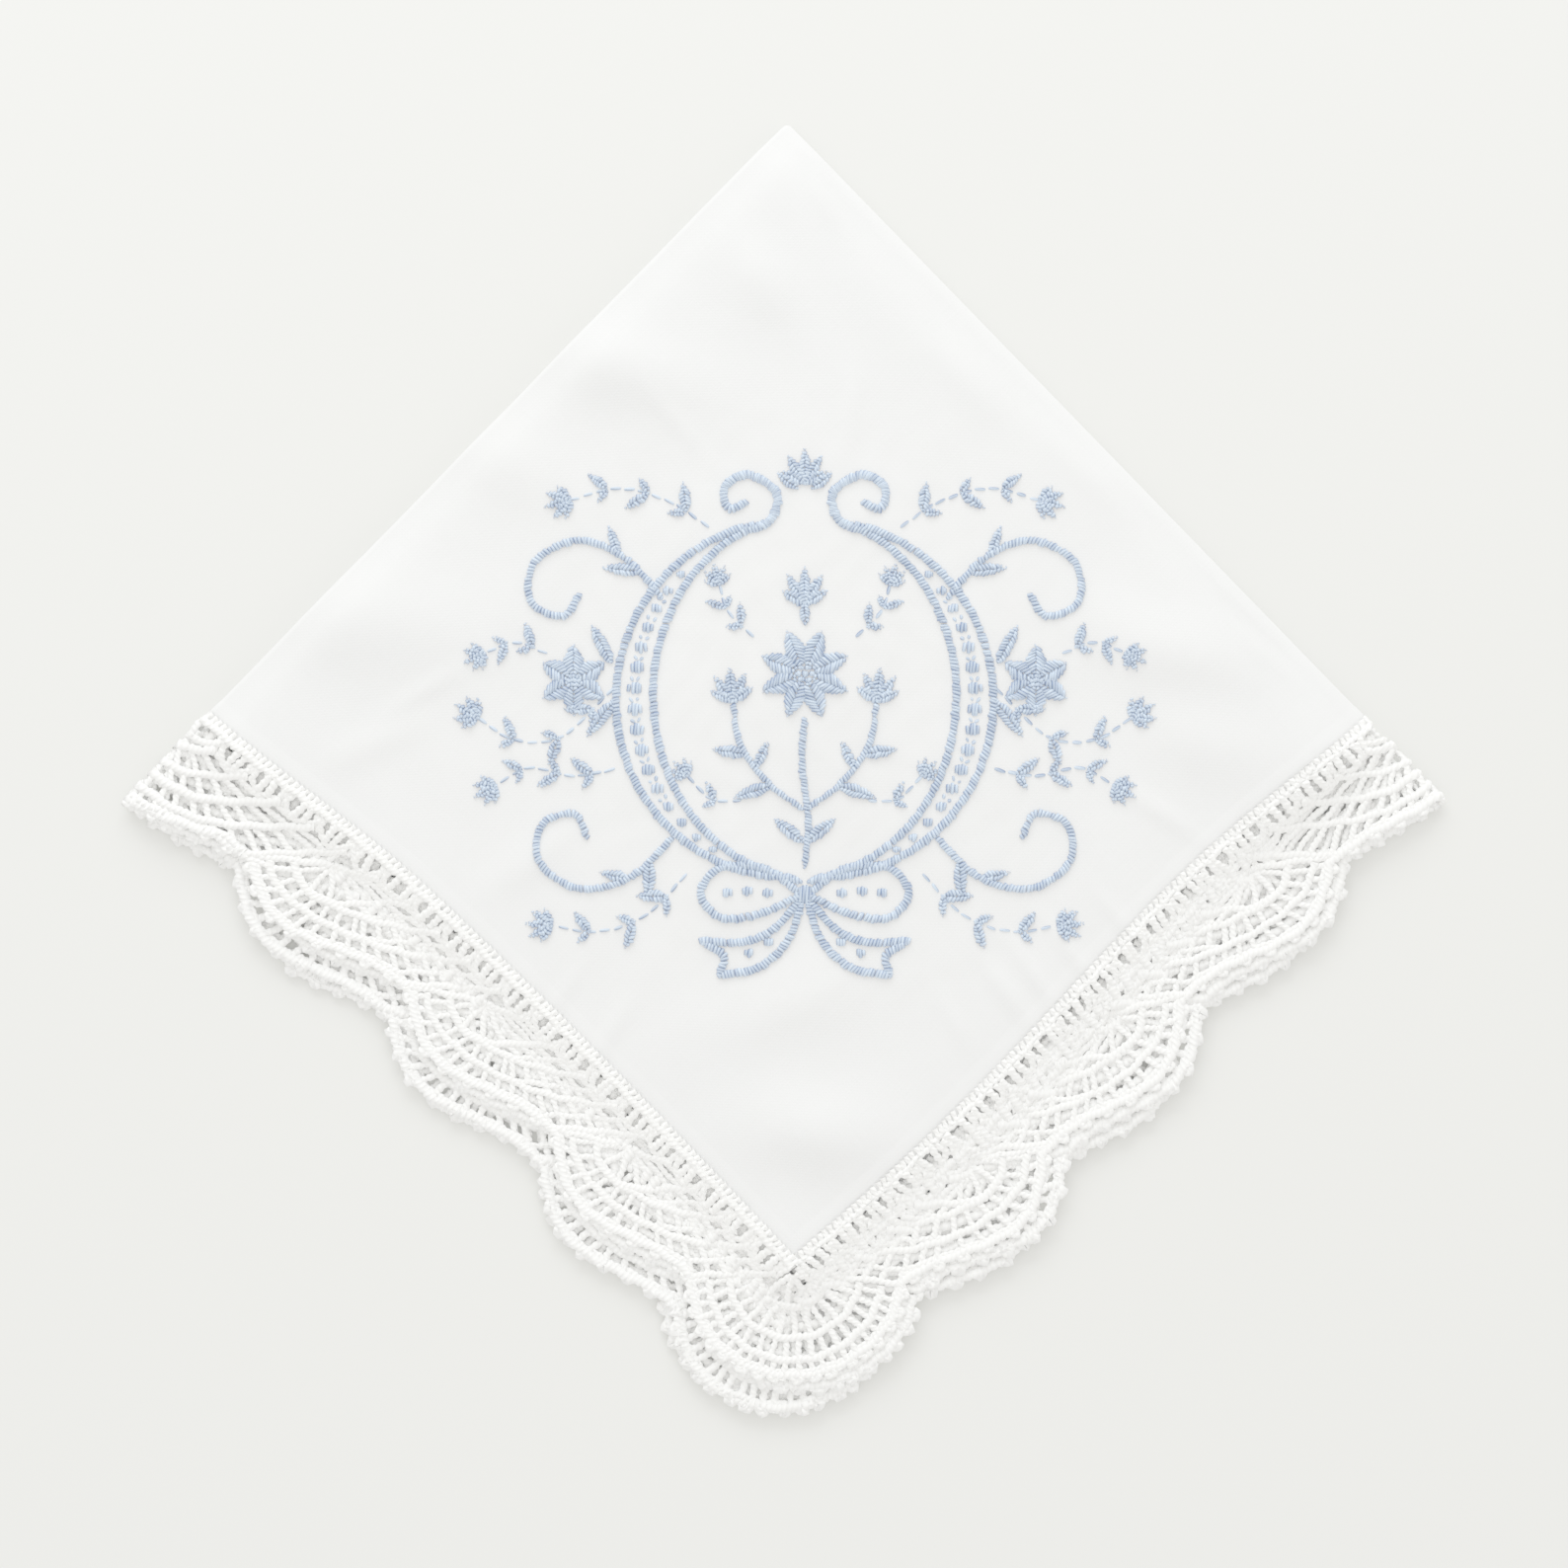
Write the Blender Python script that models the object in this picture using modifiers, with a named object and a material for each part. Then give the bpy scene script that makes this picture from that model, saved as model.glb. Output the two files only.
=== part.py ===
"""Lady's handkerchief of white cotton lawn with a crocheted lace edging, folded in half twice into quarters.

The cloth and the lace are each cut flat, given their thickness, and then folded: first across the line v, so
that two layers lie on each other, and then across the line u, so that four do. The folded quarter lies on its
face as a diamond: the centre of the open cloth is its top corner, and the lace runs along its two lower sides.
Metres, +Z up, origin under the middle of the folded piece, +Y towards the folded corner.
"""

import math

import bmesh
import bpy
import numpy as np

# The open square
HALF_CLOTH = 0.1225  # from the middle of the cloth to its edge
SEAM_GAP = 0.0003  # between the cloth's edge and the lace
SHEET = 0.001  # thickness of the cloth and of the lace

# The two folds. Each fold line leaves the middle a little, so the lower layers reach further than the top one
LAYER_GAP = 0.0004
FIRST_FOLD_OFF = 0.0012
SECOND_FOLD_OFF = 0.0025
FULLY_OFF = 0.045  # from the folded corner to where the fold lines lie fully off
FIRST_RADIUS = (SHEET + LAYER_GAP) / 2
SECOND_RADIUS = SHEET + LAYER_GAP
MIDDLE_HEIGHT = SECOND_RADIUS + FIRST_RADIUS + SHEET / 2

# Corners of a quarter of the cloth as it lies
FOLDED_CORNER = (0.0002, 0.0966)
LEFT_CORNER = (-0.0859, 0.0090)
RIGHT_CORNER = (0.0866, 0.0071)
LOWER_CORNER = (0.0002, -0.0763)
LEFT_EDGE_BOW = -0.0017  # the lace draws this edge in
RIGHT_EDGE_WAVE = -0.0012

# The lace: repeats along each side, and one fan round each corner
REPEATS_A_SIDE = 7
REPEAT_PITCH = 0.0311
CORNER_VALLEY = 0.0095  # from the cloth's corner along the side to the first valley
VALLEY_REACH = 0.0138
PEAK_REACH = 0.0187
LEFT_TIP_REACH = 0.0176
RIGHT_TIP_REACH = 0.0160
CORNER_REACH = 0.0184
LOWER_SIDE_SHIFT = 0.0045  # the repeats of the lower layers' left side lie this much further on
GAPS_A_REPEAT = 5
GAP_SHARE = 0.6  # of the pitch between two gaps
CELLS_A_HALF_CORNER = 5
ROW_SHARES = (0.0, 0.13, 0.37, 0.52, 0.83, 1.0)  # heading, gaps, band, gaps, scalloped rim
GAP_ROWS = (1, 3)
SCALLOP_START = 0.08
SCALLOP_SPAN = 0.84
SCALLOP_LEAN = 1.8  # over 1 leans each scallop away from the corner

# How finely the sheets are divided
CLOTH_CELL = 0.0125
FOLD_STEPS = 8  # round the outside of each fold
SHARP_ANGLE = math.radians(50)

# Soft rises and hollows of the folded stack, as a share of its height
RISES = (
    # x, y, radius, share
    (-0.026, 0.055, 0.022, 0.05),
    (0.020, 0.062, 0.020, 0.16),
    (0.052, 0.030, 0.024, 0.22),
    (-0.058, 0.016, 0.020, 0.20),
    (0.004, 0.012, 0.028, 0.24),
    (-0.030, -0.024, 0.020, 0.16),
    (0.036, -0.026, 0.020, 0.12),
    (0.003, -0.052, 0.016, 0.04),
    (0.001, -0.080, 0.014, 0.16),
    (-0.082, 0.000, 0.014, 0.14),
    (0.084, -0.002, 0.014, 0.18),
)
EVEN_RISE = 0.04

WHITE = (0.93, 0.935, 0.93, 1.0)
LACE_WHITE = (0.92, 0.925, 0.905, 1.0)


def clear_scene():
    for obj in list(bpy.data.objects):
        bpy.data.objects.remove(obj)


def hairpin(along, off, radius):
    """Where a strip lies when it is bent back on itself at along = 0: distance from the bend, and height."""
    quarter = math.pi * radius / 2
    angle = np.clip(along / radius, -math.pi / 2, math.pi / 2)
    beyond = np.maximum(np.abs(along) - quarter, 0)
    distance = radius - (radius + off) * np.cos(angle) + beyond
    height = (radius + off) * np.sin(angle)
    return distance, height


def lie_down(across, down):
    """Spreads the folded square over the four corners of the quarter as it lies."""
    full_across, full_down = quarter_size()
    p = across / full_across
    q = down / full_down
    top, left, right, low = (
        np.array(corner) for corner in (FOLDED_CORNER, LEFT_CORNER, RIGHT_CORNER, LOWER_CORNER)
    )
    place = (
        np.outer((1 - p) * (1 - q), top)
        + np.outer(p * (1 - q), right)
        + np.outer((1 - p) * q, left)
        + np.outer(p * q, low)
    )
    to_right = (right - top) / np.linalg.norm(right - top)
    to_left = (left - top) / np.linalg.norm(left - top)
    place += np.outer(LEFT_EDGE_BOW * np.sin(math.pi * np.clip(p, 0, 1)) * np.abs(q) ** 3, to_left)
    place += np.outer(RIGHT_EDGE_WAVE * np.sin(2 * math.pi * np.clip(q, 0, 1)) * np.abs(p) ** 3, to_right)
    return place


def quarter_size():
    """The cloth's reach from each fold, where the fold lies on the middle."""
    across = HALF_CLOTH + FIRST_RADIUS * (1 - math.pi / 2)
    down = HALF_CLOTH + SECOND_RADIUS * (1 - math.pi / 2)
    return across, down


def rise(place):
    share = np.full(len(place), EVEN_RISE)
    for x, y, radius, height in RISES:
        share += height * np.exp(-((place[:, 0] - x) ** 2 + (place[:, 1] - y) ** 2) / radius**2)
    return share


def line_off(most, beside):
    """How far a fold line lies off the middle, at a distance along it from the middle of the cloth."""
    share = np.clip(np.abs(beside) / FULLY_OFF, 0, 1)
    return most * share**2 * (3 - 2 * share)


def fold(flat):
    """Folds points of the open square, (u, v, through the thickness), into the quarter."""
    u, v, through = flat.T
    across, first_height = hairpin(v - line_off(FIRST_FOLD_OFF, u), through, FIRST_RADIUS)
    down, second_height = hairpin(u - line_off(SECOND_FOLD_OFF, v), first_height, SECOND_RADIUS)
    place = lie_down(across, down)
    height = (MIDDLE_HEIGHT + second_height) * (1 + rise(place))
    height[np.abs(height) < 1e-6] = 0
    return np.column_stack([place, height])


def with_fold(stations, offset, radius):
    """Adds the stations round a fold to those of the open sheet, and drops the others that are too near them."""
    quarter = math.pi * radius / 2
    bend = offset + np.linspace(-quarter, quarter, FOLD_STEPS + 1)
    clear = 2 * quarter
    kept = stations[np.abs(stations - offset) > clear]
    return np.sort(np.concatenate([kept, bend]))


def grid(columns, rows):
    """A bmesh grid, its vertices as a table [column][row] and its faces as a table [cell][cell]."""
    mesh = bmesh.new()
    bmesh.ops.create_grid(mesh, x_segments=columns, y_segments=rows, size=1)
    verts = {}
    for vert in mesh.verts:
        verts[round((vert.co.x + 1) / 2 * columns), round((vert.co.y + 1) / 2 * rows)] = vert
    faces = {}
    for face in mesh.faces:
        middle = face.calc_center_median()
        faces[int((middle.x + 1) / 2 * columns), int((middle.y + 1) / 2 * rows)] = face
    return mesh, verts, faces


def thick_and_folded(name, mesh, material):
    """Turns a flat bmesh into a solid sheet, and folds it."""
    data = bpy.data.meshes.new(name)
    bmesh.ops.recalc_face_normals(mesh, faces=mesh.faces)
    mesh.to_mesh(data)
    mesh.free()
    flat = bpy.data.objects.new(name + "_flat", data)
    bpy.context.scene.collection.objects.link(flat)
    thicken = flat.modifiers.new("thickness", "SOLIDIFY")
    thicken.thickness = SHEET
    thicken.offset = 0
    graph = bpy.context.evaluated_depsgraph_get()
    solid = bpy.data.meshes.new_from_object(flat.evaluated_get(graph))
    bpy.data.objects.remove(flat)
    points = np.empty(len(solid.vertices) * 3)
    solid.vertices.foreach_get("co", points)
    solid.vertices.foreach_set("co", fold(points.reshape(-1, 3)).ravel())
    solid.materials.clear()
    solid.materials.append(material)
    solid.name = name
    obj = bpy.data.objects.new(name, solid)
    face_outwards(obj)
    solid.shade_smooth()
    solid.set_sharp_from_angle(angle=SHARP_ANGLE)
    return obj


def face_outwards(obj):
    mesh = bmesh.new()
    mesh.from_mesh(obj.data)
    bmesh.ops.triangulate(mesh, faces=mesh.faces)
    bmesh.ops.recalc_face_normals(mesh, faces=mesh.faces)
    mesh.to_mesh(obj.data)
    mesh.free()


def cloth_mesh():
    """The square of lawn, divided by straight lines that come close together at the folds."""
    cells = round(2 * HALF_CLOTH / CLOTH_CELL)
    even = np.linspace(-HALF_CLOTH, HALF_CLOTH, cells + 1)
    u_lines = with_fold(even, 0, SECOND_RADIUS)
    v_lines = with_fold(even, 0, FIRST_RADIUS)
    mesh, verts, _ = grid(len(u_lines) - 1, len(v_lines) - 1)
    for (column, row), vert in verts.items():
        u = u_lines[column]
        v = v_lines[row]
        vert.co.x = u + line_off(SECOND_FOLD_OFF, v) * (1 - (u / HALF_CLOTH) ** 2)
        vert.co.y = v + line_off(FIRST_FOLD_OFF, u) * (1 - (v / HALF_CLOTH) ** 2)
        vert.co.z = 0
    return mesh


def scallop(phase):
    """Height of one scallop, 0 to 1, from the valley on the corner's side to the next one."""
    inside = np.clip((phase - SCALLOP_START) / SCALLOP_SPAN, 0, 1)
    return math.sin(math.pi * inside**SCALLOP_LEAN)


class Side:
    """One side of the lace, with x from the middle of the cloth's side: its repeats and where it is folded."""

    def __init__(self, fold_offset, radius, tip_reach, shift=0):
        straight = HALF_CLOTH + SEAM_GAP - CORNER_VALLEY
        outer = (REPEATS_A_SIDE - 1) // 2
        half_middle = straight - outer * REPEAT_PITCH
        left = np.linspace(-straight, shift - half_middle, outer + 1)
        right = np.linspace(shift + half_middle, straight, outer + 1)
        self.valleys = np.concatenate([left, right])
        self.fold_offset = fold_offset
        self.radius = radius
        self.tip_reach = tip_reach

    def stations(self):
        """Where the side is divided: at each valley, and at both ends of each gap between two valleys."""
        share = (np.arange(GAPS_A_REPEAT)[:, None] + 0.5 + GAP_SHARE / 2 * np.array([-1, 1])) / GAPS_A_REPEAT
        inside = [start + (end - start) * share.ravel() for start, end in zip(self.valleys, self.valleys[1:])]
        return with_fold(np.concatenate([self.valleys, *inside]), self.fold_offset, self.radius)

    def reach(self, x):
        """How far the lace reaches from the cloth at x."""
        repeat = min(max(np.searchsorted(self.valleys, x, side="right") - 1, 0), REPEATS_A_SIDE - 1)
        start, end = self.valleys[repeat : repeat + 2]
        phase = (x - start) / (end - start)
        middle = REPEATS_A_SIDE // 2
        if repeat == middle:
            return VALLEY_REACH + (self.tip_reach - VALLEY_REACH) * math.sin(math.pi * phase)
        height = scallop(phase if repeat < middle else 1 - phase)
        return VALLEY_REACH + (PEAK_REACH - VALLEY_REACH) * height

    def points(self):
        """(inner, outer) points along the side."""
        edge = HALF_CLOTH + SEAM_GAP
        return [((x, edge), (x, edge + self.reach(x))) for x in self.stations()]


def half_corner():
    """Inner and outer points from the last valley of a side to the corner's diagonal, seen from the corner."""
    widest = math.pi / 4 + math.atan2(CORNER_VALLEY, VALLEY_REACH)
    first = math.hypot(CORNER_VALLEY, VALLEY_REACH)
    points = []
    for step in range(1, CELLS_A_HALF_CORNER + 1):
        share = step / CELLS_A_HALF_CORNER
        from_diagonal = widest * (1 - share)
        reach = first + (CORNER_REACH - first) * math.sin(share * math.pi / 2)
        inner = (-CORNER_VALLEY * (1 - share), 0)
        outer = (
            reach * math.sin(math.pi / 4 - from_diagonal),
            reach * math.cos(math.pi / 4 - from_diagonal),
        )
        points.append((inner, outer))
    return points


def corner_points():
    """(inner, outer) points round the corner at the right end of the +v side, between its two valleys."""
    edge = HALF_CLOTH + SEAM_GAP
    into_corner = half_corner()
    points = []
    for inner, outer in into_corner:
        points.append(((edge + inner[0], edge + inner[1]), (edge + outer[0], edge + outer[1])))
    for inner, outer in reversed(into_corner[:-1]):
        points.append(((edge + inner[1], edge + inner[0]), (edge + outer[1], edge + outer[0])))
    return points


def ring_points():
    """(inner, outer) points all round the lace, clockwise from the left end of the +v side."""
    sides = (
        Side(SECOND_FOLD_OFF, SECOND_RADIUS, RIGHT_TIP_REACH),
        Side(-FIRST_FOLD_OFF, FIRST_RADIUS, LEFT_TIP_REACH),
        Side(-SECOND_FOLD_OFF, SECOND_RADIUS, RIGHT_TIP_REACH),
        Side(FIRST_FOLD_OFF, FIRST_RADIUS, LEFT_TIP_REACH, LOWER_SIDE_SHIFT),
    )
    ring = []
    for quarter_turns, side in enumerate(sides):
        for inner, outer in side.points() + corner_points():
            ring.append((turned(inner, quarter_turns), turned(outer, quarter_turns)))
    return ring


def turned(point, quarter_turns):
    x, y = point
    for _ in range(quarter_turns):
        x, y = y, -x
    return x, y


def gap_cells(ring):
    """Cells cut through for the lace's gaps, clear of the folds and of each other."""
    pitch = REPEAT_PITCH / GAPS_A_REPEAT
    cells = []
    last = -2
    for cell in range(len(ring) - 1):
        inner, outer = ring[cell]
        next_inner, next_outer = ring[cell + 1]
        inner_width = math.dist(inner, next_inner)
        on_side = inner_width > 0.8 * GAP_SHARE * pitch
        in_corner = inner_width < 0.4 * pitch and math.dist(outer, next_outer) > 0.5 * pitch
        if cell - last < 2 or not (on_side or in_corner):
            continue
        rows = GAP_ROWS if on_side else GAP_ROWS[1:]
        cells.extend((cell, row) for row in rows)
        last = cell
    return cells


def lace_mesh():
    """The edging as a ring of cells from the cloth's edge to the scalloped rim, with its gaps cut through."""
    ring = ring_points()
    rows = len(ROW_SHARES) - 1
    mesh, verts, faces = grid(len(ring), rows)
    for (column, row), vert in verts.items():
        inner, outer = ring[column % len(ring)]
        share = ROW_SHARES[row]
        vert.co = (
            inner[0] + (outer[0] - inner[0]) * share,
            inner[1] + (outer[1] - inner[1]) * share,
            0,
        )
    gaps = [faces[cell] for cell in gap_cells(ring)]
    bmesh.ops.delete(mesh, geom=gaps, context="FACES")
    bmesh.ops.remove_doubles(mesh, verts=mesh.verts, dist=1e-5)
    return mesh


def plain_material(name, colour, roughness):
    material = bpy.data.materials.new(name)
    material.use_nodes = True
    shader = material.node_tree.nodes["Principled BSDF"]
    shader.inputs["Base Color"].default_value = colour
    shader.inputs["Roughness"].default_value = roughness
    shader.inputs["Metallic"].default_value = 0
    return material


def main():
    clear_scene()
    handkerchief = bpy.data.collections.new("handkerchief")
    bpy.context.scene.collection.children.link(handkerchief)
    lawn = plain_material("white_lawn", WHITE, 0.85)
    crochet = plain_material("white_crochet_cotton", LACE_WHITE, 0.9)
    handkerchief.objects.link(thick_and_folded("cloth", cloth_mesh(), lawn))
    handkerchief.objects.link(thick_and_folded("lace_edging", lace_mesh(), crochet))


main()
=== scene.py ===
import math

import bmesh
import bpy
import numpy as np
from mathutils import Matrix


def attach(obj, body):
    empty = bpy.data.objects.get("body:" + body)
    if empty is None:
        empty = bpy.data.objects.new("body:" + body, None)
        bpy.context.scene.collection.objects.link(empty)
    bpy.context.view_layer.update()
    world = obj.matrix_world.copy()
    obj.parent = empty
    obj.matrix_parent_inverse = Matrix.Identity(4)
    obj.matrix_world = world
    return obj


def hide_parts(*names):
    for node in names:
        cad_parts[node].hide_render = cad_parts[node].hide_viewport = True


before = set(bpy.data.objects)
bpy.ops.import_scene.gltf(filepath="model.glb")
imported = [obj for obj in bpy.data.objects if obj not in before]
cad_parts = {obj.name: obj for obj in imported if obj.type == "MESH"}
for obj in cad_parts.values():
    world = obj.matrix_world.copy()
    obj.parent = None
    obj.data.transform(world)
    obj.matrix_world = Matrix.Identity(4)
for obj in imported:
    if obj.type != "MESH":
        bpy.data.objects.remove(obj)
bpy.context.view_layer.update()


# The table top
#
# A plain pale painted board, far larger than the handkerchief, which lies straight on it with nothing
# between. It isn't part of the object.

TABLE_WIDTH = 3.0
TABLE_WHITE = (0.722, 0.725, 0.688, 1.0)
TABLE_ROUGHNESS = 0.6

bpy.ops.mesh.primitive_plane_add(size=TABLE_WIDTH, location=(0, 0, 0))
table_top = bpy.context.object
table_top.name = "table_top"
table_paint = bpy.data.materials.new("table_paint")
table_paint.use_nodes = True
table_shader = table_paint.node_tree.nodes["Principled BSDF"]
table_shader.inputs["Base Color"].default_value = TABLE_WHITE
table_shader.inputs["Roughness"].default_value = TABLE_ROUGHNESS
table_top.data.materials.append(table_paint)


# The square of lawn
#
# One square of fine white cotton lawn with a narrow hem turned under all round. It is pressed in half, with
# the crease along the upper left, and in half again, with a softer roll along the upper right, so four
# layers lie as a diamond.

HALF_CLOTH = 0.1225
LAWN = 0.00022  # thickness
HEM_WIDTH = 0.0032
HEM_STEP = 0.0007  # how wide the step up to the hem is
HEM_LIFT = 0.00011
HEM_LINES = (1.15, 1.0, 0.85, 0.5)  # where the hem is divided, in hem widths from the edge
FINE_CELL = 0.0009  # on the top layer
FINE_FROM_FOLD = 0.0035
FINE_FROM_HEM = 0.005
PLAIN_CELL = 0.0045  # on the layers below
PLAIN_FROM_FOLD = 0.006
PLAIN_FROM_HEM = 0.006
BEND_REACH = 1.8  # how far to either side a fold is divided finely, in its radii
BEND_LINES = 19
CM_A_METRE = 100

FIRST_FOLD_OFF = 0.0012
SECOND_FOLD_OFF = 0.0025
FULLY_OFF = 0.045
FIRST_RADIUS = 0.0007
SECOND_RADIUS = 0.0014
MIDDLE_HEIGHT = 0.0026
THINNER = 0.00027  # how much lower lawn lies than a sheet 1 mm thick

FOLDED_CORNER = (-0.0001, 0.0971)
LEFT_CORNER = (-0.0869, 0.0082)
RIGHT_CORNER = (0.0874, 0.0070)
LOWER_CORNER = (0.0002, -0.0763)
LEFT_EDGE_BOW = -0.0017
RIGHT_EDGE_WAVE = -0.0012

EVEN_RISE = 0.04
SOFT_RISES = (
    # x, y, direction in degrees, half length, half width, share of the height
    (0.004, 0.012, 0, 0.028, 0.028, 0.232),
    (0.001, -0.080, 0, 0.014, 0.014, 0.145),
    (-0.083, -0.014, -45, 0.026, 0.013, 0.300),
    (0.084, -0.002, 0, 0.014, 0.014, 0.232),
    (-0.0252, 0.0610, -20, 0.0120, 0.0058, 0.440),
    (-0.0440, 0.0470, -30, 0.0110, 0.0052, 0.220),
    (-0.0620, 0.0230, -5, 0.0150, 0.0078, 0.460),
    (0.0575, 0.0182, -20, 0.0110, 0.0058, 0.480),
    (0.0640, 0.0040, -15, 0.0110, 0.0056, 0.290),
    (0.0050, -0.0540, -8, 0.0110, 0.0060, 0.500),
    (0.0016, -0.0350, 20, 0.0130, 0.0054, 0.260),
    (-0.0036, 0.0738, -60, 0.0070, 0.0046, 0.250),
    (0.0058, 0.0858, -62, 0.0050, 0.0017, 0.140),
    (0.0455, 0.0450, -45, 0.0090, 0.0026, 0.183),
    (0.0270, 0.0590, -50, 0.0070, 0.0028, 0.127),
    (0.0690, 0.0246, -45, 0.0080, 0.0013, 0.113),
    (0.0725, 0.0170, -42, 0.0070, 0.0012, 0.101),
    (-0.0390, -0.0140, 35, 0.0080, 0.0030, 0.140),
    (-0.0620, 0.0040, 25, 0.0070, 0.0026, 0.127),
    (0.0330, -0.0330, -56, 0.0060, 0.0013, 0.140),
    (0.0376, -0.0310, -56, 0.0065, 0.0012, 0.137),
    (0.0432, -0.0275, -54, 0.0060, 0.0012, 0.125),
    (0.0500, -0.0220, -52, 0.0055, 0.0011, 0.096),
    (0.0250, -0.0370, -62, 0.0050, 0.0013, 0.085),
    (-0.0260, -0.0390, 58, 0.0060, 0.0014, 0.090),
    (-0.0330, -0.0330, 56, 0.0050, 0.0012, 0.079),
    (0.0100, 0.0540, 85, 0.0060, 0.0014, 0.085),
    (-0.0160, 0.0520, -50, 0.0060, 0.0014, 0.079),
    (0.0560, -0.0060, -34, 0.0070, 0.0014, 0.108),
    (-0.0540, 0.0120, 30, 0.0060, 0.0013, 0.085),
)
EMBROIDERY_MIDDLE = (0.003, 0.009)
EMBROIDERY_REACH = 0.046
# Small waves all over, and puckers round the stitches: their share of the pile's height, and for the waves
# along x and along y their length, how much they waver, and over what length.
RIPPLE = 0.017
RIPPLE_WAVES = ((0.0031, 2.0, 0.011), (0.0043, 1.3, 0.009))
PUCKER = 0.019
PUCKER_WAVES = ((0.00125, 1.7, 0.0034), (0.0015, 1.9, 0.0041))
# How much thinner the pile is at each fold, and how far from it this reaches.
FIRST_PRESSED = (0.26, 0.0034)
SECOND_PRESSED = (0.31, 0.0044)


def hairpin(along, off, radius):
    """Where a strip lies when it is bent back on itself: distance from the bend, and height."""
    quarter = math.pi * radius / 2
    angle = np.clip(along / radius, -math.pi / 2, math.pi / 2)
    beyond = np.maximum(np.abs(along) - quarter, 0)
    return radius - (radius + off) * np.cos(angle) + beyond, (radius + off) * np.sin(angle)


def line_off(most, beside):
    """How far a fold line lies off the middle of the cloth."""
    share = np.clip(np.abs(beside) / FULLY_OFF, 0, 1)
    return most * share**2 * (3 - 2 * share)


def spread(across, down):
    """Lays the folded square over the corners of the quarter."""
    p = across / (HALF_CLOTH + FIRST_RADIUS * (1 - math.pi / 2))
    q = down / (HALF_CLOTH + SECOND_RADIUS * (1 - math.pi / 2))
    top, left, right, low = (
        np.array(corner) for corner in (FOLDED_CORNER, LEFT_CORNER, RIGHT_CORNER, LOWER_CORNER)
    )
    place = np.outer((1 - p) * (1 - q), top) + np.outer(p * (1 - q), right)
    place += np.outer((1 - p) * q, left) + np.outer(p * q, low)
    to_right = (right - top) / np.linalg.norm(right - top)
    to_left = (left - top) / np.linalg.norm(left - top)
    place += np.outer(LEFT_EDGE_BOW * np.sin(math.pi * np.clip(p, 0, 1)) * np.abs(q) ** 3, to_left)
    place += np.outer(RIGHT_EDGE_WAVE * np.sin(2 * math.pi * np.clip(q, 0, 1)) * np.abs(p) ** 3, to_right)
    return place


def crossed(x, y, waves):
    """Two trains of wavering waves, the one along x and the one along y."""
    (x_length, x_waver, x_over), (y_length, y_waver, y_over) = waves
    along_x = np.sin(x / x_length + x_waver * np.sin(y / x_over))
    along_y = np.sin(y / y_length + y_waver * np.sin(x / y_over))
    return along_x, along_y


def swell(place):
    """How much higher the pile stands at a place, as a share of its height."""
    x, y = place.T
    share = np.full(len(place), EVEN_RISE)
    for at_x, at_y, degrees, half_length, half_width, height in SOFT_RISES:
        turn = math.radians(degrees)
        along = (x - at_x) * math.cos(turn) + (y - at_y) * math.sin(turn)
        beside = (y - at_y) * math.cos(turn) - (x - at_x) * math.sin(turn)
        share += height * np.exp(-((along / half_length) ** 2) - (beside / half_width) ** 2)
    ripple_x, ripple_y = crossed(x, y, RIPPLE_WAVES)
    share += RIPPLE * ripple_x * ripple_y
    from_middle = np.hypot(x - EMBROIDERY_MIDDLE[0], y - EMBROIDERY_MIDDLE[1])
    near_stitches = np.exp(-((from_middle / EMBROIDERY_REACH) ** 6))
    pucker_x, pucker_y = crossed(x, y, PUCKER_WAVES)
    return share + PUCKER * near_stitches * (pucker_x * pucker_y)


def folded(flat, lower):
    """Folds points of the open square, (u, v, through the cloth), and sets the pile lower by so much."""
    u, v, through = flat.T
    across, first_height = hairpin(v - line_off(FIRST_FOLD_OFF, u), through, FIRST_RADIUS)
    down, second_height = hairpin(u - line_off(SECOND_FOLD_OFF, v), first_height, SECOND_RADIUS)
    place = spread(across, down)
    pressed = sum(
        share * np.exp(-((np.maximum(distance, 0) / reach) ** 2))
        for distance, (share, reach) in ((across, FIRST_PRESSED), (down, SECOND_PRESSED))
    )
    height = (MIDDLE_HEIGHT + second_height - lower) * (1 + swell(place)) * (1 - pressed)
    return np.column_stack([place, height])


def lawn_lines(radius):
    """Where the square is divided: finely on top, at the folds and at the hem, and plainly elsewhere."""
    hem = HALF_CLOTH - HEM_WIDTH * np.array(HEM_LINES)
    below = np.arange(-HALF_CLOTH + PLAIN_FROM_HEM, -PLAIN_FROM_FOLD, PLAIN_CELL)
    bend = np.linspace(-BEND_REACH * radius, BEND_REACH * radius, BEND_LINES)
    fine_lines = round((HALF_CLOTH - FINE_FROM_FOLD - FINE_FROM_HEM) / FINE_CELL)
    above = np.linspace(FINE_FROM_FOLD, HALF_CLOTH - FINE_FROM_HEM, fine_lines)
    return np.sort(np.concatenate([[-HALF_CLOTH, HALF_CLOTH], -hem, hem, below, bend, above]))


def hem_lift(distance):
    """The turned hem stands a little above the single lawn."""
    inside = np.clip((distance - (HALF_CLOTH - HEM_WIDTH)) / HEM_STEP, 0, 1)
    return HEM_LIFT * inside**2 * (3 - 2 * inside)


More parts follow.
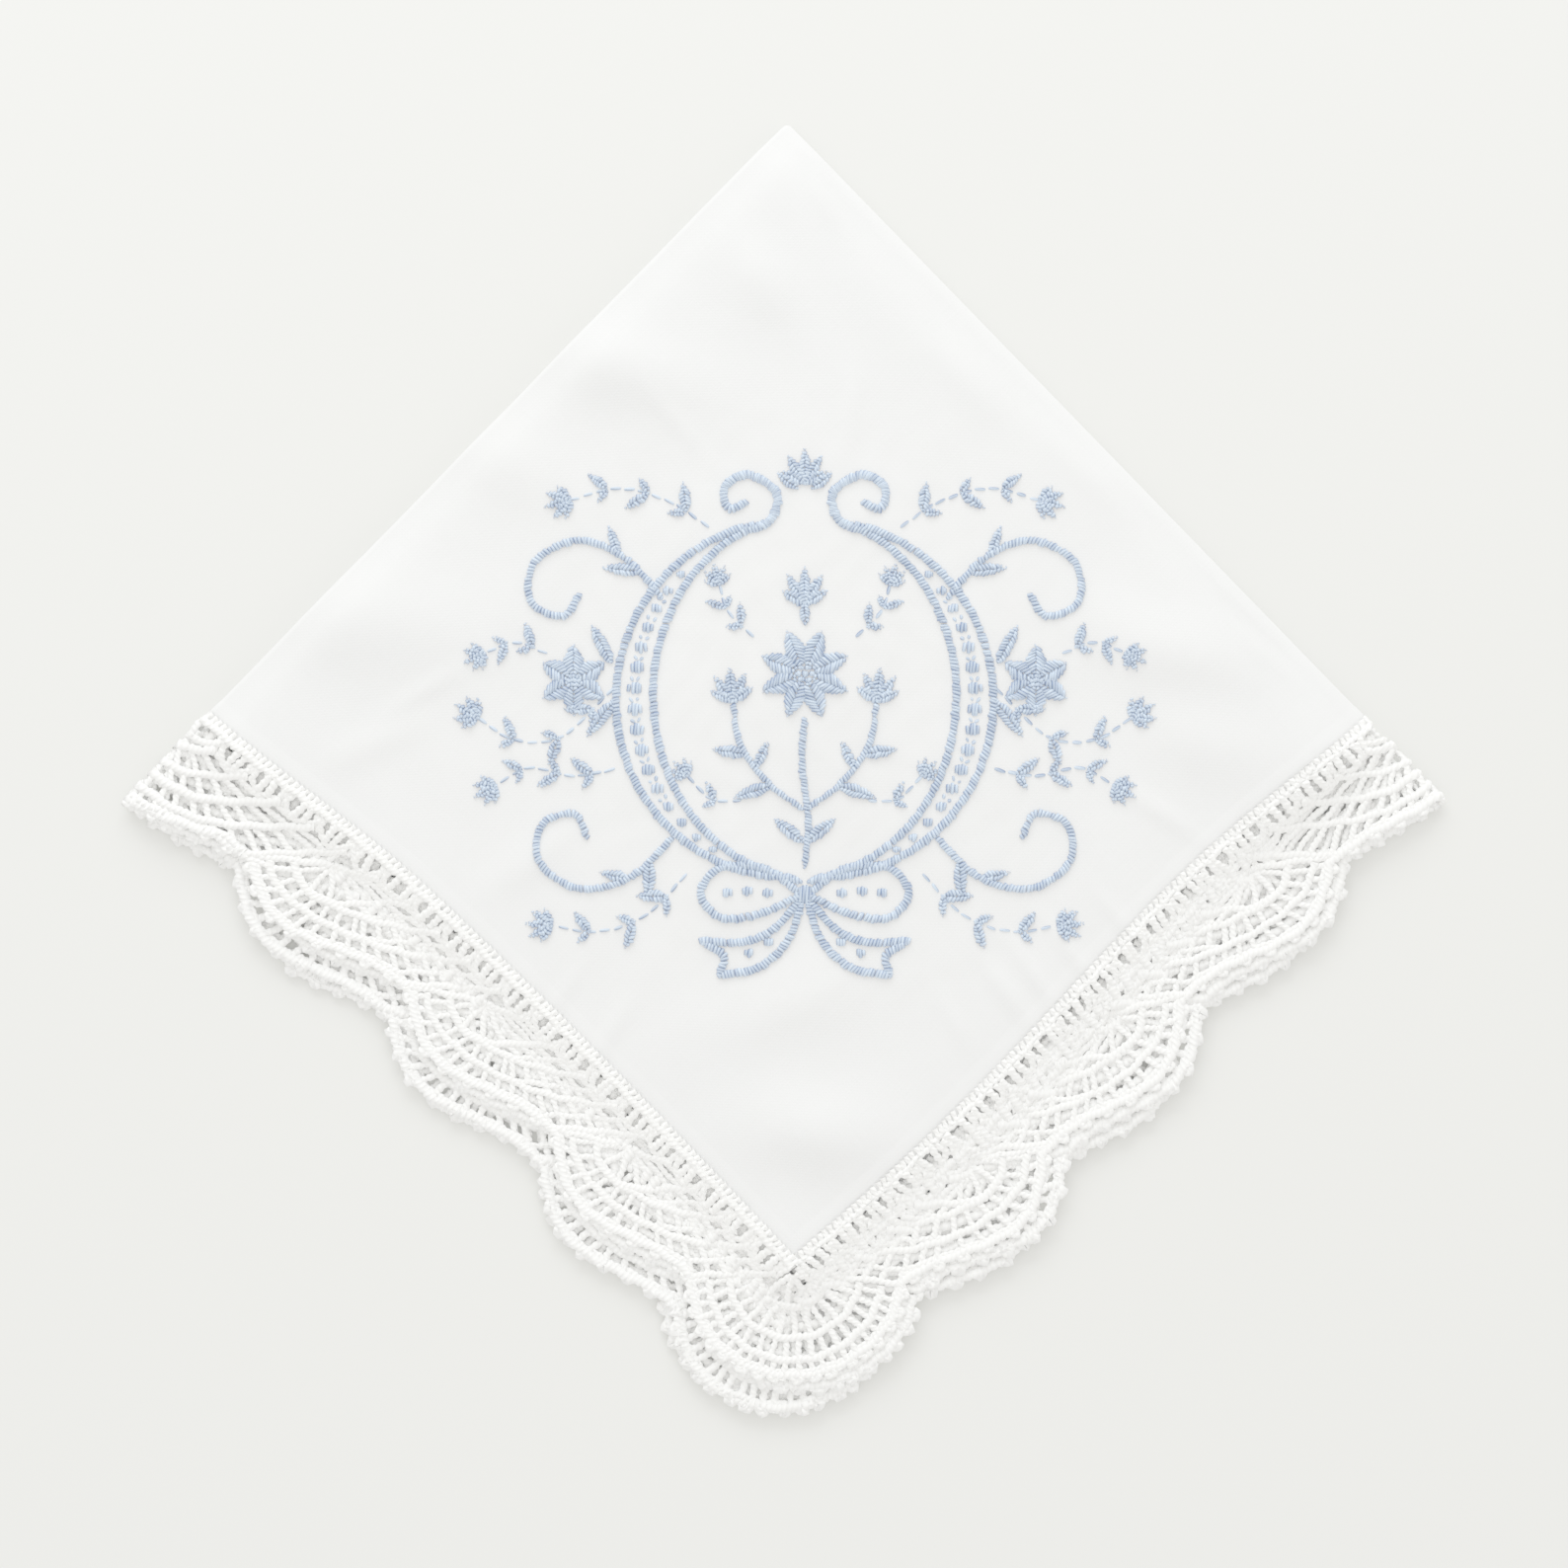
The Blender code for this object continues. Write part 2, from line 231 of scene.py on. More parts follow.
u_lines = lawn_lines(SECOND_RADIUS)
v_lines = lawn_lines(FIRST_RADIUS)
columns, rows = len(u_lines), len(v_lines)
lawn_sheet = bmesh.new()
bmesh.ops.create_grid(lawn_sheet, x_segments=columns - 1, y_segments=rows - 1, size=1)
flat_cut = lawn_sheet.loops.layers.uv.new("flat_cut")
grid_place = np.array([vert.co[:2] for vert in lawn_sheet.verts])
column = np.rint((grid_place[:, 0] + 1) / 2 * (columns - 1)).astype(int)
row = np.rint((grid_place[:, 1] + 1) / 2 * (rows - 1)).astype(int)
u, v = u_lines[column], v_lines[row]
u = u + line_off(SECOND_FOLD_OFF, v) * (1 - (u / HALF_CLOTH) ** 2)
v = v + line_off(FIRST_FOLD_OFF, u_lines[column]) * (1 - (v / HALF_CLOTH) ** 2)
for vert, at_u, at_v in zip(lawn_sheet.verts, u, v):
    vert.co = (at_u, at_v, 0)
for face in lawn_sheet.faces:
    face.smooth = True
    for loop in face.loops:
        loop[flat_cut].uv = (loop.vert.co.x * CM_A_METRE, loop.vert.co.y * CM_A_METRE)
lawn_data = bpy.data.meshes.new("lawn")
lawn_sheet.to_mesh(lawn_data)
lawn_sheet.free()
hem = np.maximum(hem_lift(np.abs(u)), hem_lift(np.abs(v)))
lawn_data.vertices.foreach_set("co", folded(np.column_stack([u, v, hem]), THINNER).ravel())
lawn = bpy.data.objects.new("lawn", lawn_data)
bpy.context.scene.collection.objects.link(lawn)
lawn_thickness = lawn.modifiers.new("thickness", "SOLIDIFY")
lawn_thickness.thickness = LAWN
lawn_thickness.offset = 0

LAWN_WHITE = (0.785, 0.789, 0.786, 1.0)
LAWN_SHADE = (0.715, 0.718, 0.708, 1.0)
THREADS_A_CM = 34.0
SLUB_STRETCH = 16.0  # how many times longer than wide a thick place in a thread is
SLUB_SCALE = 3.0
CLOUD_SCALE = 0.8
CLOUD_DETAIL = 2.0
SLUB_SHADE = 1.3
CLOUD_SHADE = 0.7
SHADE_TAKEN_OFF = 0.65
WEAVE_RELIEF = 0.25
SLUB_RELIEF = 2.2
LAWN_BUMP_STRENGTH = 0.5
LAWN_BUMP = 0.00005
LAWN_ROUGHNESS = 0.84
LAWN_SHEEN = 0.9


def nodes_of(material):
    tree = material.node_tree
    return tree, tree.nodes["Principled BSDF"]


def reckoned(tree, operation, *terms):
    """A sum in a shader. Its terms are numbers or the outputs of other nodes."""
    node = tree.nodes.new("ShaderNodeMath")
    node.operation = operation
    for socket, term in zip(node.inputs, terms):
        if isinstance(term, float):
            socket.default_value = term
        else:
            tree.links.new(term, socket)
    return node.outputs["Value"]


def noise_over(tree, place, stretch, scale, detail=3.0):
    """Noise over a map that is stretched first."""
    mapping = tree.nodes.new("ShaderNodeMapping")
    mapping.inputs["Scale"].default_value = stretch
    noise = tree.nodes.new("ShaderNodeTexNoise")
    noise.inputs["Scale"].default_value = scale
    noise.inputs["Detail"].default_value = detail
    tree.links.new(place, mapping.inputs["Vector"])
    tree.links.new(mapping.outputs["Vector"], noise.inputs["Vector"])
    return noise.outputs["Fac"]


def mixed_colour(tree, factor, first, second):
    mix = tree.nodes.new("ShaderNodeMix")
    mix.data_type = "RGBA"
    tree.links.new(factor, mix.inputs["Factor"])
    for name, colour in (("A", first), ("B", second)):
        socket = next(s for s in mix.inputs if s.name == name and s.type == "RGBA")
        if isinstance(colour, tuple):
            socket.default_value = colour
        else:
            tree.links.new(colour, socket)
    return next(s for s in mix.outputs if s.type == "RGBA")


def bumped(tree, shader, height, strength, distance):
    bump = tree.nodes.new("ShaderNodeBump")
    bump.inputs["Strength"].default_value = strength
    bump.inputs["Distance"].default_value = distance
    tree.links.new(height, bump.inputs["Height"])
    tree.links.new(bump.outputs["Normal"], shader.inputs["Normal"])


lawn_cotton = bpy.data.materials.new("lawn_cotton")
lawn_cotton.use_nodes = True
tree, shader = nodes_of(lawn_cotton)
cut = tree.nodes.new("ShaderNodeUVMap")
cut.uv_map = "flat_cut"
place = cut.outputs["UV"]
axes = tree.nodes.new("ShaderNodeSeparateXYZ")
tree.links.new(place, axes.inputs["Vector"])
warp = reckoned(tree, "SINE", reckoned(tree, "MULTIPLY", axes.outputs["X"], math.pi * THREADS_A_CM))
weft = reckoned(tree, "SINE", reckoned(tree, "MULTIPLY", axes.outputs["Y"], math.pi * THREADS_A_CM))
weave = reckoned(tree, "MULTIPLY", warp, weft)
long_slubs = noise_over(tree, place, (1.0, SLUB_STRETCH, 1.0), SLUB_SCALE)
cross_slubs = noise_over(tree, place, (SLUB_STRETCH, 1.0, 1.0), SLUB_SCALE)
slubs = reckoned(tree, "MULTIPLY", reckoned(tree, "ADD", long_slubs, cross_slubs), 0.5)
clouds = noise_over(tree, place, (1.0, 1.0, 1.0), CLOUD_SCALE, CLOUD_DETAIL)
slub_shade = reckoned(tree, "MULTIPLY", slubs, SLUB_SHADE)
cloud_shade = reckoned(tree, "MULTIPLY", clouds, CLOUD_SHADE)
unevenness = reckoned(tree, "ADD", slub_shade, cloud_shade)
shade = reckoned(tree, "SUBTRACT", unevenness, SHADE_TAKEN_OFF)
tree.links.new(mixed_colour(tree, shade, LAWN_WHITE, LAWN_SHADE), shader.inputs["Base Color"])
weave_relief = reckoned(tree, "MULTIPLY", weave, WEAVE_RELIEF)
slub_relief = reckoned(tree, "MULTIPLY", slubs, SLUB_RELIEF)
height = reckoned(tree, "ADD", weave_relief, slub_relief)
bumped(tree, shader, height, LAWN_BUMP_STRENGTH, LAWN_BUMP)
shader.inputs["Roughness"].default_value = LAWN_ROUGHNESS
shader.inputs["Sheen Weight"].default_value = LAWN_SHEEN
lawn_data.materials.append(lawn_cotton)

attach(lawn, "root")
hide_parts("cloth")


# The crocheted edging
#
# White cotton yarn, crocheted on to the hem all round. A ribbed row grips the hem, and loops of chain with
# two bars in each hang from it. Other chains lean from there into one-sided fans, with bars between the
# chains and a close double rim with small knots.

SEAM_GAP = 0.0003
REPEATS_A_SIDE = 7
REPEAT_PITCH = 0.0311
CORNER_VALLEY = 0.0095
VALLEY_REACH = 0.0138
PEAK_REACH = 0.0187
LEFT_TIP_REACH = 0.0176
RIGHT_TIP_REACH = 0.0160
CORNER_REACH = 0.0184
LOWER_SIDE_SHIFT = 0.0045
EDGE = HALF_CLOTH + SEAM_GAP

RIM_IN = 0.0012  # from the outermost knots back to the rim's own line
VALLEY_RIM = VALLEY_REACH - RIM_IN
HEADING = 0.0026  # where the fans' chains start, out from the cloth
FAN_LEAN = 0.0113  # how far along the heading a fan's last chain starts before the valley that it ends in
CORNER_LEAN = 0.0086
BAR_PITCH = 0.0024
FOOT_BAR_PITCH = 0.0017  # between a fan's two innermost chains
FOOT_BAR_START = 0.0010
LEAST_GAP = 0.0012  # no bar where two chains lie closer
WIDE_GAP = 4 * BAR_PITCH  # a bar across a wider gap is slimmer
SLIM_REACH = 0.46  # how far along its neighbours a slim chain runs, as a share
# Where a scallop starts, how long it is and how it leans or rounds, as shares of a fan.
SCALLOP = (0.06, 0.88, 1.5)
FOLD_SCALLOP = (0.1, 0.8, 1.3)
KNOT_PITCH = 0.0040
CORNER_KNOT_PITCH = 0.0027
CORNER_KNOT_SIZE = 1.15
RIM_LINES_APART = 0.00062
PRESSED_WIDER = 1.42  # a strand of the lower layers over the same one on top
STITCH = 0.00105
WANDER = 0.00012  # of a strand to either side of its line
WANDER_LENGTH = 0.0008
WAVE_START = (0, 6)  # a wave along a strand starts anywhere
SLIM_PART = 0.72  # of its radius, which a strand has between two stitches
SWOLLEN_PART = 0.50  # and how much more at each stitch
STITCH_START = (0, 3)
YARN_SPREAD = (0.92, 1.08)  # from the thinnest strand to the thickest
LIFT_SPREAD = 0.00006  # of a strand up and down
LIFT_LENGTH = 0.0021
CHAIN_LIFT = 0.00008  # chains lie over the bars

SETTLED = 0.60  # how much thinner the pile of lace is at its rim than at the hem
SETTLED_FROM_HEM = 0.0068
LOWEST_STRANDS = 0.00082  # middle of the lowest layer's strands above the table
PRESSED_FLAT = 0.00002  # the table presses the yarn flat here
SECOND_LAYER = MIDDLE_HEIGHT + SECOND_RADIUS - FIRST_RADIUS
SECOND_LAYER_SPREAD = 0.0008
CLINGS_UP = 0.00056  # how far the second layer's lace rises to the top layer's
CLINGS_FROM_HEM = 0.001
LACE_LOWER = 0.00004  # how much lower lace lies than a sheet 1 mm thick
FLATTENED = 0.78  # height of a strand over its width

CHAIN = 0.00063  # radius of a line of chain
SLIM_CHAIN = 0.00047
BAR = 0.00050
RIM = 0.00066
KNOT = 0.00058
RIB = 0.00043

# The chains of one fan, in mm from the valley on its corner side, along the hem and out from it.
FAN_FOOT = (20.0, 5.6)
FOOT_CHAIN = ((13.6, 2.6), (16.8, 4.5), FAN_FOOT)
INNER_CHAIN = ((7.4, 2.6), (10.4, 4.9), (13.2, 7.8), (16.0, 10.1), (19.4, 11.0), (22.4, 10.4), (24.6, 8.8))
JOINED_CHAIN = (
    (1.2, 2.6), (4.0, 4.9), (7.4, 7.0), (11.0, 8.9),
    (15.6, 10.4), (19.4, 11.2), (22.4, 10.5), (24.6, 8.8),
)
MIDDLE_CHAIN = (
    (-5.1, 2.6), (-2.4, 4.9), (2.4, 8.4), (6.0, 10.4), (9.2, 11.7),
    (12.6, 12.9), (16.4, 13.7), (20.4, 13.9), (24.2, 13.2), (27.6, 11.0),
)
# The chains of half the fan that lies over a fold, up to its middle.
FOLD_CHAINS = (
    ((13.6, 2.6), (16.8, 4.8), (20.0, 6.0)),
    ((7.4, 2.6), (12.0, 6.2), (16.0, 8.3), (20.0, 9.0)),
    ((1.2, 2.6), (6.5, 7.0), (12.0, 10.2), (20.0, 11.4)),
    ((-5.1, 2.6), (0.5, 7.2), (6.0, 11.0), (12.0, 13.2), (20.0, 13.9)),
)
FOLD_HALF = 20.0
FOLD_DEPTH = 16.3  # the rim's, for these chains
# A knot on the rim, in mm along it and out from it.
KNOT_LINE = ((-0.50, 0.1), (-0.46, 0.62), (0.0, 0.95), (0.46, 0.62), (0.50, 0.1))
KNOT_STEP = 0.0003
CORNER_FOOT = 0.0006  # out from the cloth's corner, each way
CORNER_RINGS = (0.33, 0.61, 0.81)
FOOT_RING = 0.02
CORNER_BAR_PITCH = 0.0019
CORNER_BAR_START = 0.0008
CORNER_BAR_STAGGER = 0.0006
MM = 0.001
MM_A_METRE = 1000
EVEN_POINTS = 73
RIM_POINTS = 61
LINE_STEP = 0.0005  # between the points of a smooth line
# Each side's reach over its fold, and how far its fans are shifted along it.
SIDES = (
    (RIGHT_TIP_REACH, 0),
    (LEFT_TIP_REACH, 0),
    (RIGHT_TIP_REACH, 0),
    (LEFT_TIP_REACH, LOWER_SIDE_SHIFT),
)
# How far the lace has slipped along each side: on the half left of the fold, and on the half right of it.
# The top layer's has stayed in place.
SLIPS = ((0.0008, 0.0), (0.0, 0.0015), (0.0015, -0.0011), (-0.0011, 0.0008))
SLIPS_WITHIN = 0.012
CORNER_SLIPS = (0, 0.00095, 0.0005, 0.0014)
RING_SLIPS = (0, 0.08, -0.07, 0.04)
# The layers below have one more chain, behind the top layer's bars: so far out along the heading, and at
# this share of the corner fan.
BACKING_OUT = 0.0017
BACKING_FROM_FOLD = 0.0008
CORNER_BACKING = 0.18

# The heading: a ribbed row on the hem, and between each two nodes a loop with two uneven bars.
ROW_SHORT = 0.0002  # it ends this far from the corner
ROW_STEP = 0.0004
ROW_OUT = 0.00012
RIB_PITCH = 0.00098
RIB_SLANT = 0.00040
RIB_FROM = -0.00135
RIB_TO = 0.00005
LOOP_POINTS = 25
LOOP_FROM = 0.0006
LOOP_PAST = 0.0004  # how far a loop hangs past the start of the fans' chains
LOOP_FULLNESS = 0.6
LOOP_BARS = (0.36, 0.64)  # as shares of the loop
LOOP_BAR_STRAY = 0.08
LOOP_BAR_TOP = 0.0002
LOOP_BAR_TOP_STRAY = (-0.0004, 0.0006)
NODE_BARS = (-0.0004, 0.0004)  # to either side of a node
NODE_BAR_SPLAY = 1.6
NODE_BAR_TOP = 0.0003
NODE_BAR_STRAY = 0.0003
hook = np.random.default_rng(11)  # the crochet hook's unevenness


def length_along(line):
    return np.concatenate([[0], np.cumsum(np.linalg.norm(np.diff(line, axis=0), axis=1))])


def even(points, step):
    """Points at even steps along a line."""
    points = np.asarray(points, float)
    lengths = length_along(points)
    count = max(2, round(lengths[-1] / step) + 1)
    at = np.linspace(0, lengths[-1], count)
    return np.column_stack([np.interp(at, lengths, points[:, axis]) for axis in (0, 1)])


def flowing(points, step):
    """A smooth line through a few points, at even steps."""
    points = np.asarray(points, float)
    ends = np.vstack([2 * points[0] - points[1], points, 2 * points[-1] - points[-2]])
    t = np.linspace(0, 1, 24, endpoint=False)[:, None]
    pieces = []
    for a, b, c, d in zip(ends, ends[1:], ends[2:], ends[3:]):
        bend = (2 * a - 5 * b + 4 * c - d) * t**2 + (3 * b - a - 3 * c + d) * t**3
        pieces.append(b + 0.5 * ((c - a) * t + bend))
    return even(np.vstack(pieces + [points[-1:]]), step)


def shared_out(line):
    """The same line with a fixed number of points, so that two chains can be matched point by point."""
    line = np.asarray(line, float)
    lengths = length_along(line)
    at = np.linspace(0, lengths[-1], EVEN_POINTS)
    return np.column_stack([np.interp(at, lengths, line[:, axis]) for axis in (0, 1)])


def scallop(phase):
    """The rim of a leaning fan: level at its ends, and highest past its middle."""
    start, width, lean = SCALLOP
    inside = np.clip((phase - start) / width, 0, 1)
    return np.sin(math.pi * inside**lean)


def bars_between(inner, outer, pitch, start):
    """Bars from one chain to the next, wherever there is room."""
    strands = []
    middle = length_along((inner + outer) / 2)
    for at in np.arange(start, middle[-1], pitch):
        index = int(np.searchsorted(middle, at))
        gap = np.linalg.norm(outer[index] - inner[index])
        if gap > LEAST_GAP:
            radius = BAR if gap < WIDE_GAP else SLIM_CHAIN
            strands.append((np.array([inner[index], outer[index]]), radius))
    return strands


def between_chains(inner, outer):
    """A slim chain half way between two others at the heading, which joins the outer one further down."""
    share = 0.5 + 0.5 * np.clip(np.arange(EVEN_POINTS) / (SLIM_REACH * EVEN_POINTS), 0, 1) ** 3
    line = inner + (outer - inner) * share[:, None]
    return line[: int(SLIM_REACH * EVEN_POINTS) + 1]


def chains_and_bars(chains):
    """The net of one fan, from its innermost chain to its rim."""
    strands = []
    for number, (inner, outer) in enumerate(zip(chains, chains[1:])):
        strands.append((inner, CHAIN))
        if number == 0:
            strands += bars_between(inner, outer, FOOT_BAR_PITCH, FOOT_BAR_START)
            continue
        slim = between_chains(inner, outer)
        strands.append((slim, SLIM_CHAIN))
        split = len(slim)
        strands += bars_between(inner[:split], slim, BAR_PITCH, BAR_PITCH * 0.4)
        strands += bars_between(slim, outer[:split], BAR_PITCH, BAR_PITCH * 0.9)
        staggered = BAR_PITCH * (0.3 + 0.4 * (number % 2))
        strands += bars_between(inner[split:], outer[split:], BAR_PITCH, staggered)
    return strands


def rim_strands(rim, knot_pitch=KNOT_PITCH, knot_size=1.0):
    """The close double line at the edge, and its knots, for a rim that runs with the lace on its right."""
    strands = [(rim, RIM)]
    steps = np.gradient(rim, axis=0)
    outward = np.column_stack([-steps[:, 1], steps[:, 0]])
    outward /= np.linalg.norm(outward, axis=1)[:, None]
    strands.append((rim - outward * RIM_LINES_APART, SLIM_CHAIN))
    length = length_along(rim)
    for at in np.arange(knot_pitch / 2, length[-1], knot_pitch):
        index = int(np.searchsorted(length, at))
        out = outward[index]
        along = np.array([out[1], -out[0]])
        knot = np.array(KNOT_LINE) * MM * knot_size
        strands.append((flowing(rim[index] + knot[:, :1] * along + knot[:, 1:] * out, KNOT_STEP), KNOT))
    return strands


def leaning_fan(start, end, lean):
    """A fan between two valleys, leaning to the corner at its start. Gives its strands and nodes."""
    stretch = (end - start) / REPEAT_PITCH

    def placed(chain):
        line = flowing(np.asarray(chain) * MM, LINE_STEP)
        foot_x = FAN_FOOT[0] * MM
        near_heading = np.clip(1 - (line[:, 1] - HEADING) / (VALLEY_RIM - HEADING), 0, 1)
        before_foot = np.clip((foot_x - line[:, 0]) / (foot_x + FAN_LEAN), 0, 1)
        line[:, 0] += (FAN_LEAN - lean) * before_foot * near_heading
        line[:, 0] = start + line[:, 0] * stretch
        return line

    phase = np.linspace(0, 1, RIM_POINTS)
    rim_reach = VALLEY_RIM + (PEAK_REACH - VALLEY_REACH) * scallop(phase)
    rim = np.column_stack([start + (end - start) * phase, rim_reach])
    outline = np.vstack([even([(start - lean, HEADING), rim[0]], LINE_STEP)[:-1], rim])
    foot_chain = placed(FOOT_CHAIN)
    foot = foot_chain[-1]
    to_foot = np.vstack([foot_chain, np.repeat(foot[None], 2 * len(foot_chain), axis=0)])
    rows = [shared_out(placed(chain)) for chain in (INNER_CHAIN, JOINED_CHAIN, MIDDLE_CHAIN)]
    first = to_foot[np.rint(np.linspace(0, len(to_foot) - 1, EVEN_POINTS)).astype(int)]
    strands = chains_and_bars([first] + rows + [shared_out(outline)])
    strands.append((outline[: len(outline) - len(rim) + 2], CHAIN))
    last_spoke = even([foot, rim[-1]], LINE_STEP)
    next_chain = even([(end - FAN_LEAN, HEADING), rim[-1]], LINE_STEP)
    strands.append((last_spoke, CHAIN))
    strands += bars_between(shared_out(last_spoke), shared_out(next_chain), BAR_PITCH, BAR_PITCH * 0.5)
    nodes = [row[0, 0] for row in rows] + [foot_chain[0, 0], outline[0, 0]]
    return strands + rim_strands(rim), nodes


def fold_fan(start, end, tip_reach):
    """The even fan whose middle lies over a fold."""
    middle, half = (start + end) / 2, (end - start) / 2
    depth = (tip_reach - RIM_IN - HEADING) / (FOLD_DEPTH * MM - HEADING)

    def placed(chain):
        line = flowing(np.asarray(chain) * MM, LINE_STEP)
        line[:, 0] = start + line[:, 0] * half / (FOLD_HALF * MM)
        line[:, 1] = HEADING + (line[:, 1] - HEADING) * depth
        return np.vstack([line, mirrored(line[::-1], middle)[1:]])

    phase = np.linspace(0, 1, RIM_POINTS)
    first, width, roundness = FOLD_SCALLOP
    inside = np.clip((phase - first) / width, 0, 1)
    rise = (tip_reach - VALLEY_REACH) * np.sin(math.pi * inside) ** roundness
    rim = np.column_stack([start + (end - start) * phase, VALLEY_RIM + rise])
    leaning = even([(start - FAN_LEAN, HEADING), rim[0]], LINE_STEP)
    rising = even([rim[-1], (end + FAN_LEAN, HEADING)], LINE_STEP)
    outline = np.vstack([leaning[:-1], rim, rising[1:]])
    rows = [shared_out(placed(chain)) for chain in FOLD_CHAINS] + [shared_out(outline)]
    strands = [(leaning, CHAIN), (rising, CHAIN)]
    for number, (inner, outer) in enumerate(zip(rows, rows[1:])):
        strands.append((inner, CHAIN))
        staggered = BAR_PITCH * (0.3 + 0.5 * (number % 2))
        strands += bars_between(inner, outer, BAR_PITCH, staggered)
    nodes = [row[end, 0] for row in rows for end in (0, -1)]
    return strands + rim_strands(rim), nodes


def mirrored(points, about=0.0):
    points = np.array(points, float)
    points[:, 0] = 2 * about - points[:, 0]
    return points


def side_strands(tip_reach, shift):
    """All strands of one side, with x along it from its middle and y out from the cloth."""
    straight = EDGE - CORNER_VALLEY
    outer = (REPEATS_A_SIDE - 1) // 2
    half_middle = straight - outer * REPEAT_PITCH
    strands, nodes = fold_fan(shift - half_middle, shift + half_middle, tip_reach)
    for hand in (-1, 1):
        valleys = np.linspace(-straight, hand * -shift - half_middle, outer + 1)
        for repeat, (start, end) in enumerate(zip(valleys, valleys[1:])):
            fan, fan_nodes = leaning_fan(start, end, CORNER_LEAN if repeat == 0 else FAN_LEAN)
            if hand > 0:
                fan = [(mirrored(line), radius) for line, radius in fan]
                fan_nodes = [-node for node in fan_nodes]
            strands += fan
            nodes += fan_nodes
    return strands + heading_strands(sorted(nodes))


def heading_strands(nodes):
    """The ribbed row that grips the hem, the loops that hang from it, and their bars."""
    reach = EDGE - ROW_SHORT
    along = np.arange(-reach, reach, ROW_STEP)
    strands = [(np.column_stack([along, np.full(len(along), ROW_OUT)]), BAR)]
    for at in np.arange(-reach, reach, RIB_PITCH):
        strands.append((np.array([[at, RIB_FROM], [at + RIB_SLANT, RIB_TO]]), RIB))
    for left, right in zip(nodes, nodes[1:]):
        if right - left < 2 * LEAST_GAP:
            continue
        phase = np.linspace(0, 1, LOOP_POINTS)
        drop = LOOP_FROM + (HEADING + LOOP_PAST) * np.sin(math.pi * phase) ** LOOP_FULLNESS
        loop = np.column_stack([left + (right - left) * phase, drop])
        strands.append((loop, BAR))
        for share in LOOP_BARS:
            stray = hook.uniform(-LOOP_BAR_STRAY, LOOP_BAR_STRAY)
            low = loop[round((share + stray) * (LOOP_POINTS - 1))]
            high = (low[0] + hook.uniform(*LOOP_BAR_TOP_STRAY), LOOP_BAR_TOP)
            strands.append((np.array([high, low]), CHAIN))
    for node in nodes:
        for aside in NODE_BARS:
            stray = hook.uniform(-NODE_BAR_STRAY, NODE_BAR_STRAY)
            high = (node + aside * NODE_BAR_SPLAY + stray, NODE_BAR_TOP)
            strands.append((np.array([high, (node + aside, HEADING + LOOP_PAST)]), BAR))
    return strands


def corner_strands(slip, ring_slip):
    """The fan round the corner at the right end of the +v side, in the open square's own u and v."""
    corner = np.array([EDGE, EDGE])
    widest = math.pi / 4 + math.atan2(CORNER_VALLEY, VALLEY_RIM)
    first = math.hypot(CORNER_VALLEY, VALLEY_RIM)
    angle = np.linspace(-widest, widest, RIM_POINTS)
    reach = first + (CORNER_REACH - RIM_IN - first) * np.cos(angle / widest * math.pi / 2)
    bearing = math.pi / 4 - angle
    spread_out = np.column_stack([np.cos(bearing), np.sin(bearing)]) * reach[:, None]
    rim = corner + spread_out
    foot = corner + CORNER_FOOT
    rings = [FOOT_RING] + [ring + ring_slip for ring in CORNER_RINGS] + [1.0]
    rows = [shared_out(foot + spread_out * ring) for ring in rings]
    strands = []
    for number, (inner, outer) in enumerate(zip(rows, rows[1:])):
        start = CORNER_BAR_START + slip + CORNER_BAR_STAGGER * (number % 2)
        strands += bars_between(inner, outer, CORNER_BAR_PITCH, start)
        if number:
            strands.append((inner, CHAIN))
    if slip:
        strands.append((shared_out(foot + spread_out * CORNER_BACKING), CHAIN))
    return strands + rim_strands(rim, CORNER_KNOT_PITCH, CORNER_KNOT_SIZE)


def quarter_turned(points, quarter_turns):
    points = np.array(points, float)
    for _ in range(quarter_turns):
        points = np.column_stack([points[:, 1], -points[:, 0]])
    return points


def all_lace_strands():
    """Every strand of the edging in the open square's own u and v."""
    strands = []
    for turns, (tip_reach, shift) in enumerate(SIDES):
        for line, radius in side_strands(tip_reach, shift):
            from_fold = np.abs(line[:, 0])
            from_corner = EDGE - from_fold
            free = np.clip(from_fold / SLIPS_WITHIN, 0, 1) * np.clip(from_corner / SLIPS_WITHIN, 0, 1)
            slip = np.where(line[:, 0] < 0, *SLIPS[turns]) * free
            line = line + np.column_stack([slip, np.full(len(line), EDGE)])
            strands.append((quarter_turned(line, turns), radius))
        for hand, slip in zip((-1, 1), SLIPS[turns]):
            if slip:
                along = hand * np.arange(BACKING_FROM_FOLD, EDGE, LINE_STEP)
                backing = np.column_stack([along, np.full(len(along), EDGE + BACKING_OUT)])
                strands.append((quarter_turned(backing, turns), BAR))
        for line, radius in corner_strands(CORNER_SLIPS[turns], RING_SLIPS[turns]):
            strands.append((quarter_turned(line, turns), radius))
    return strands


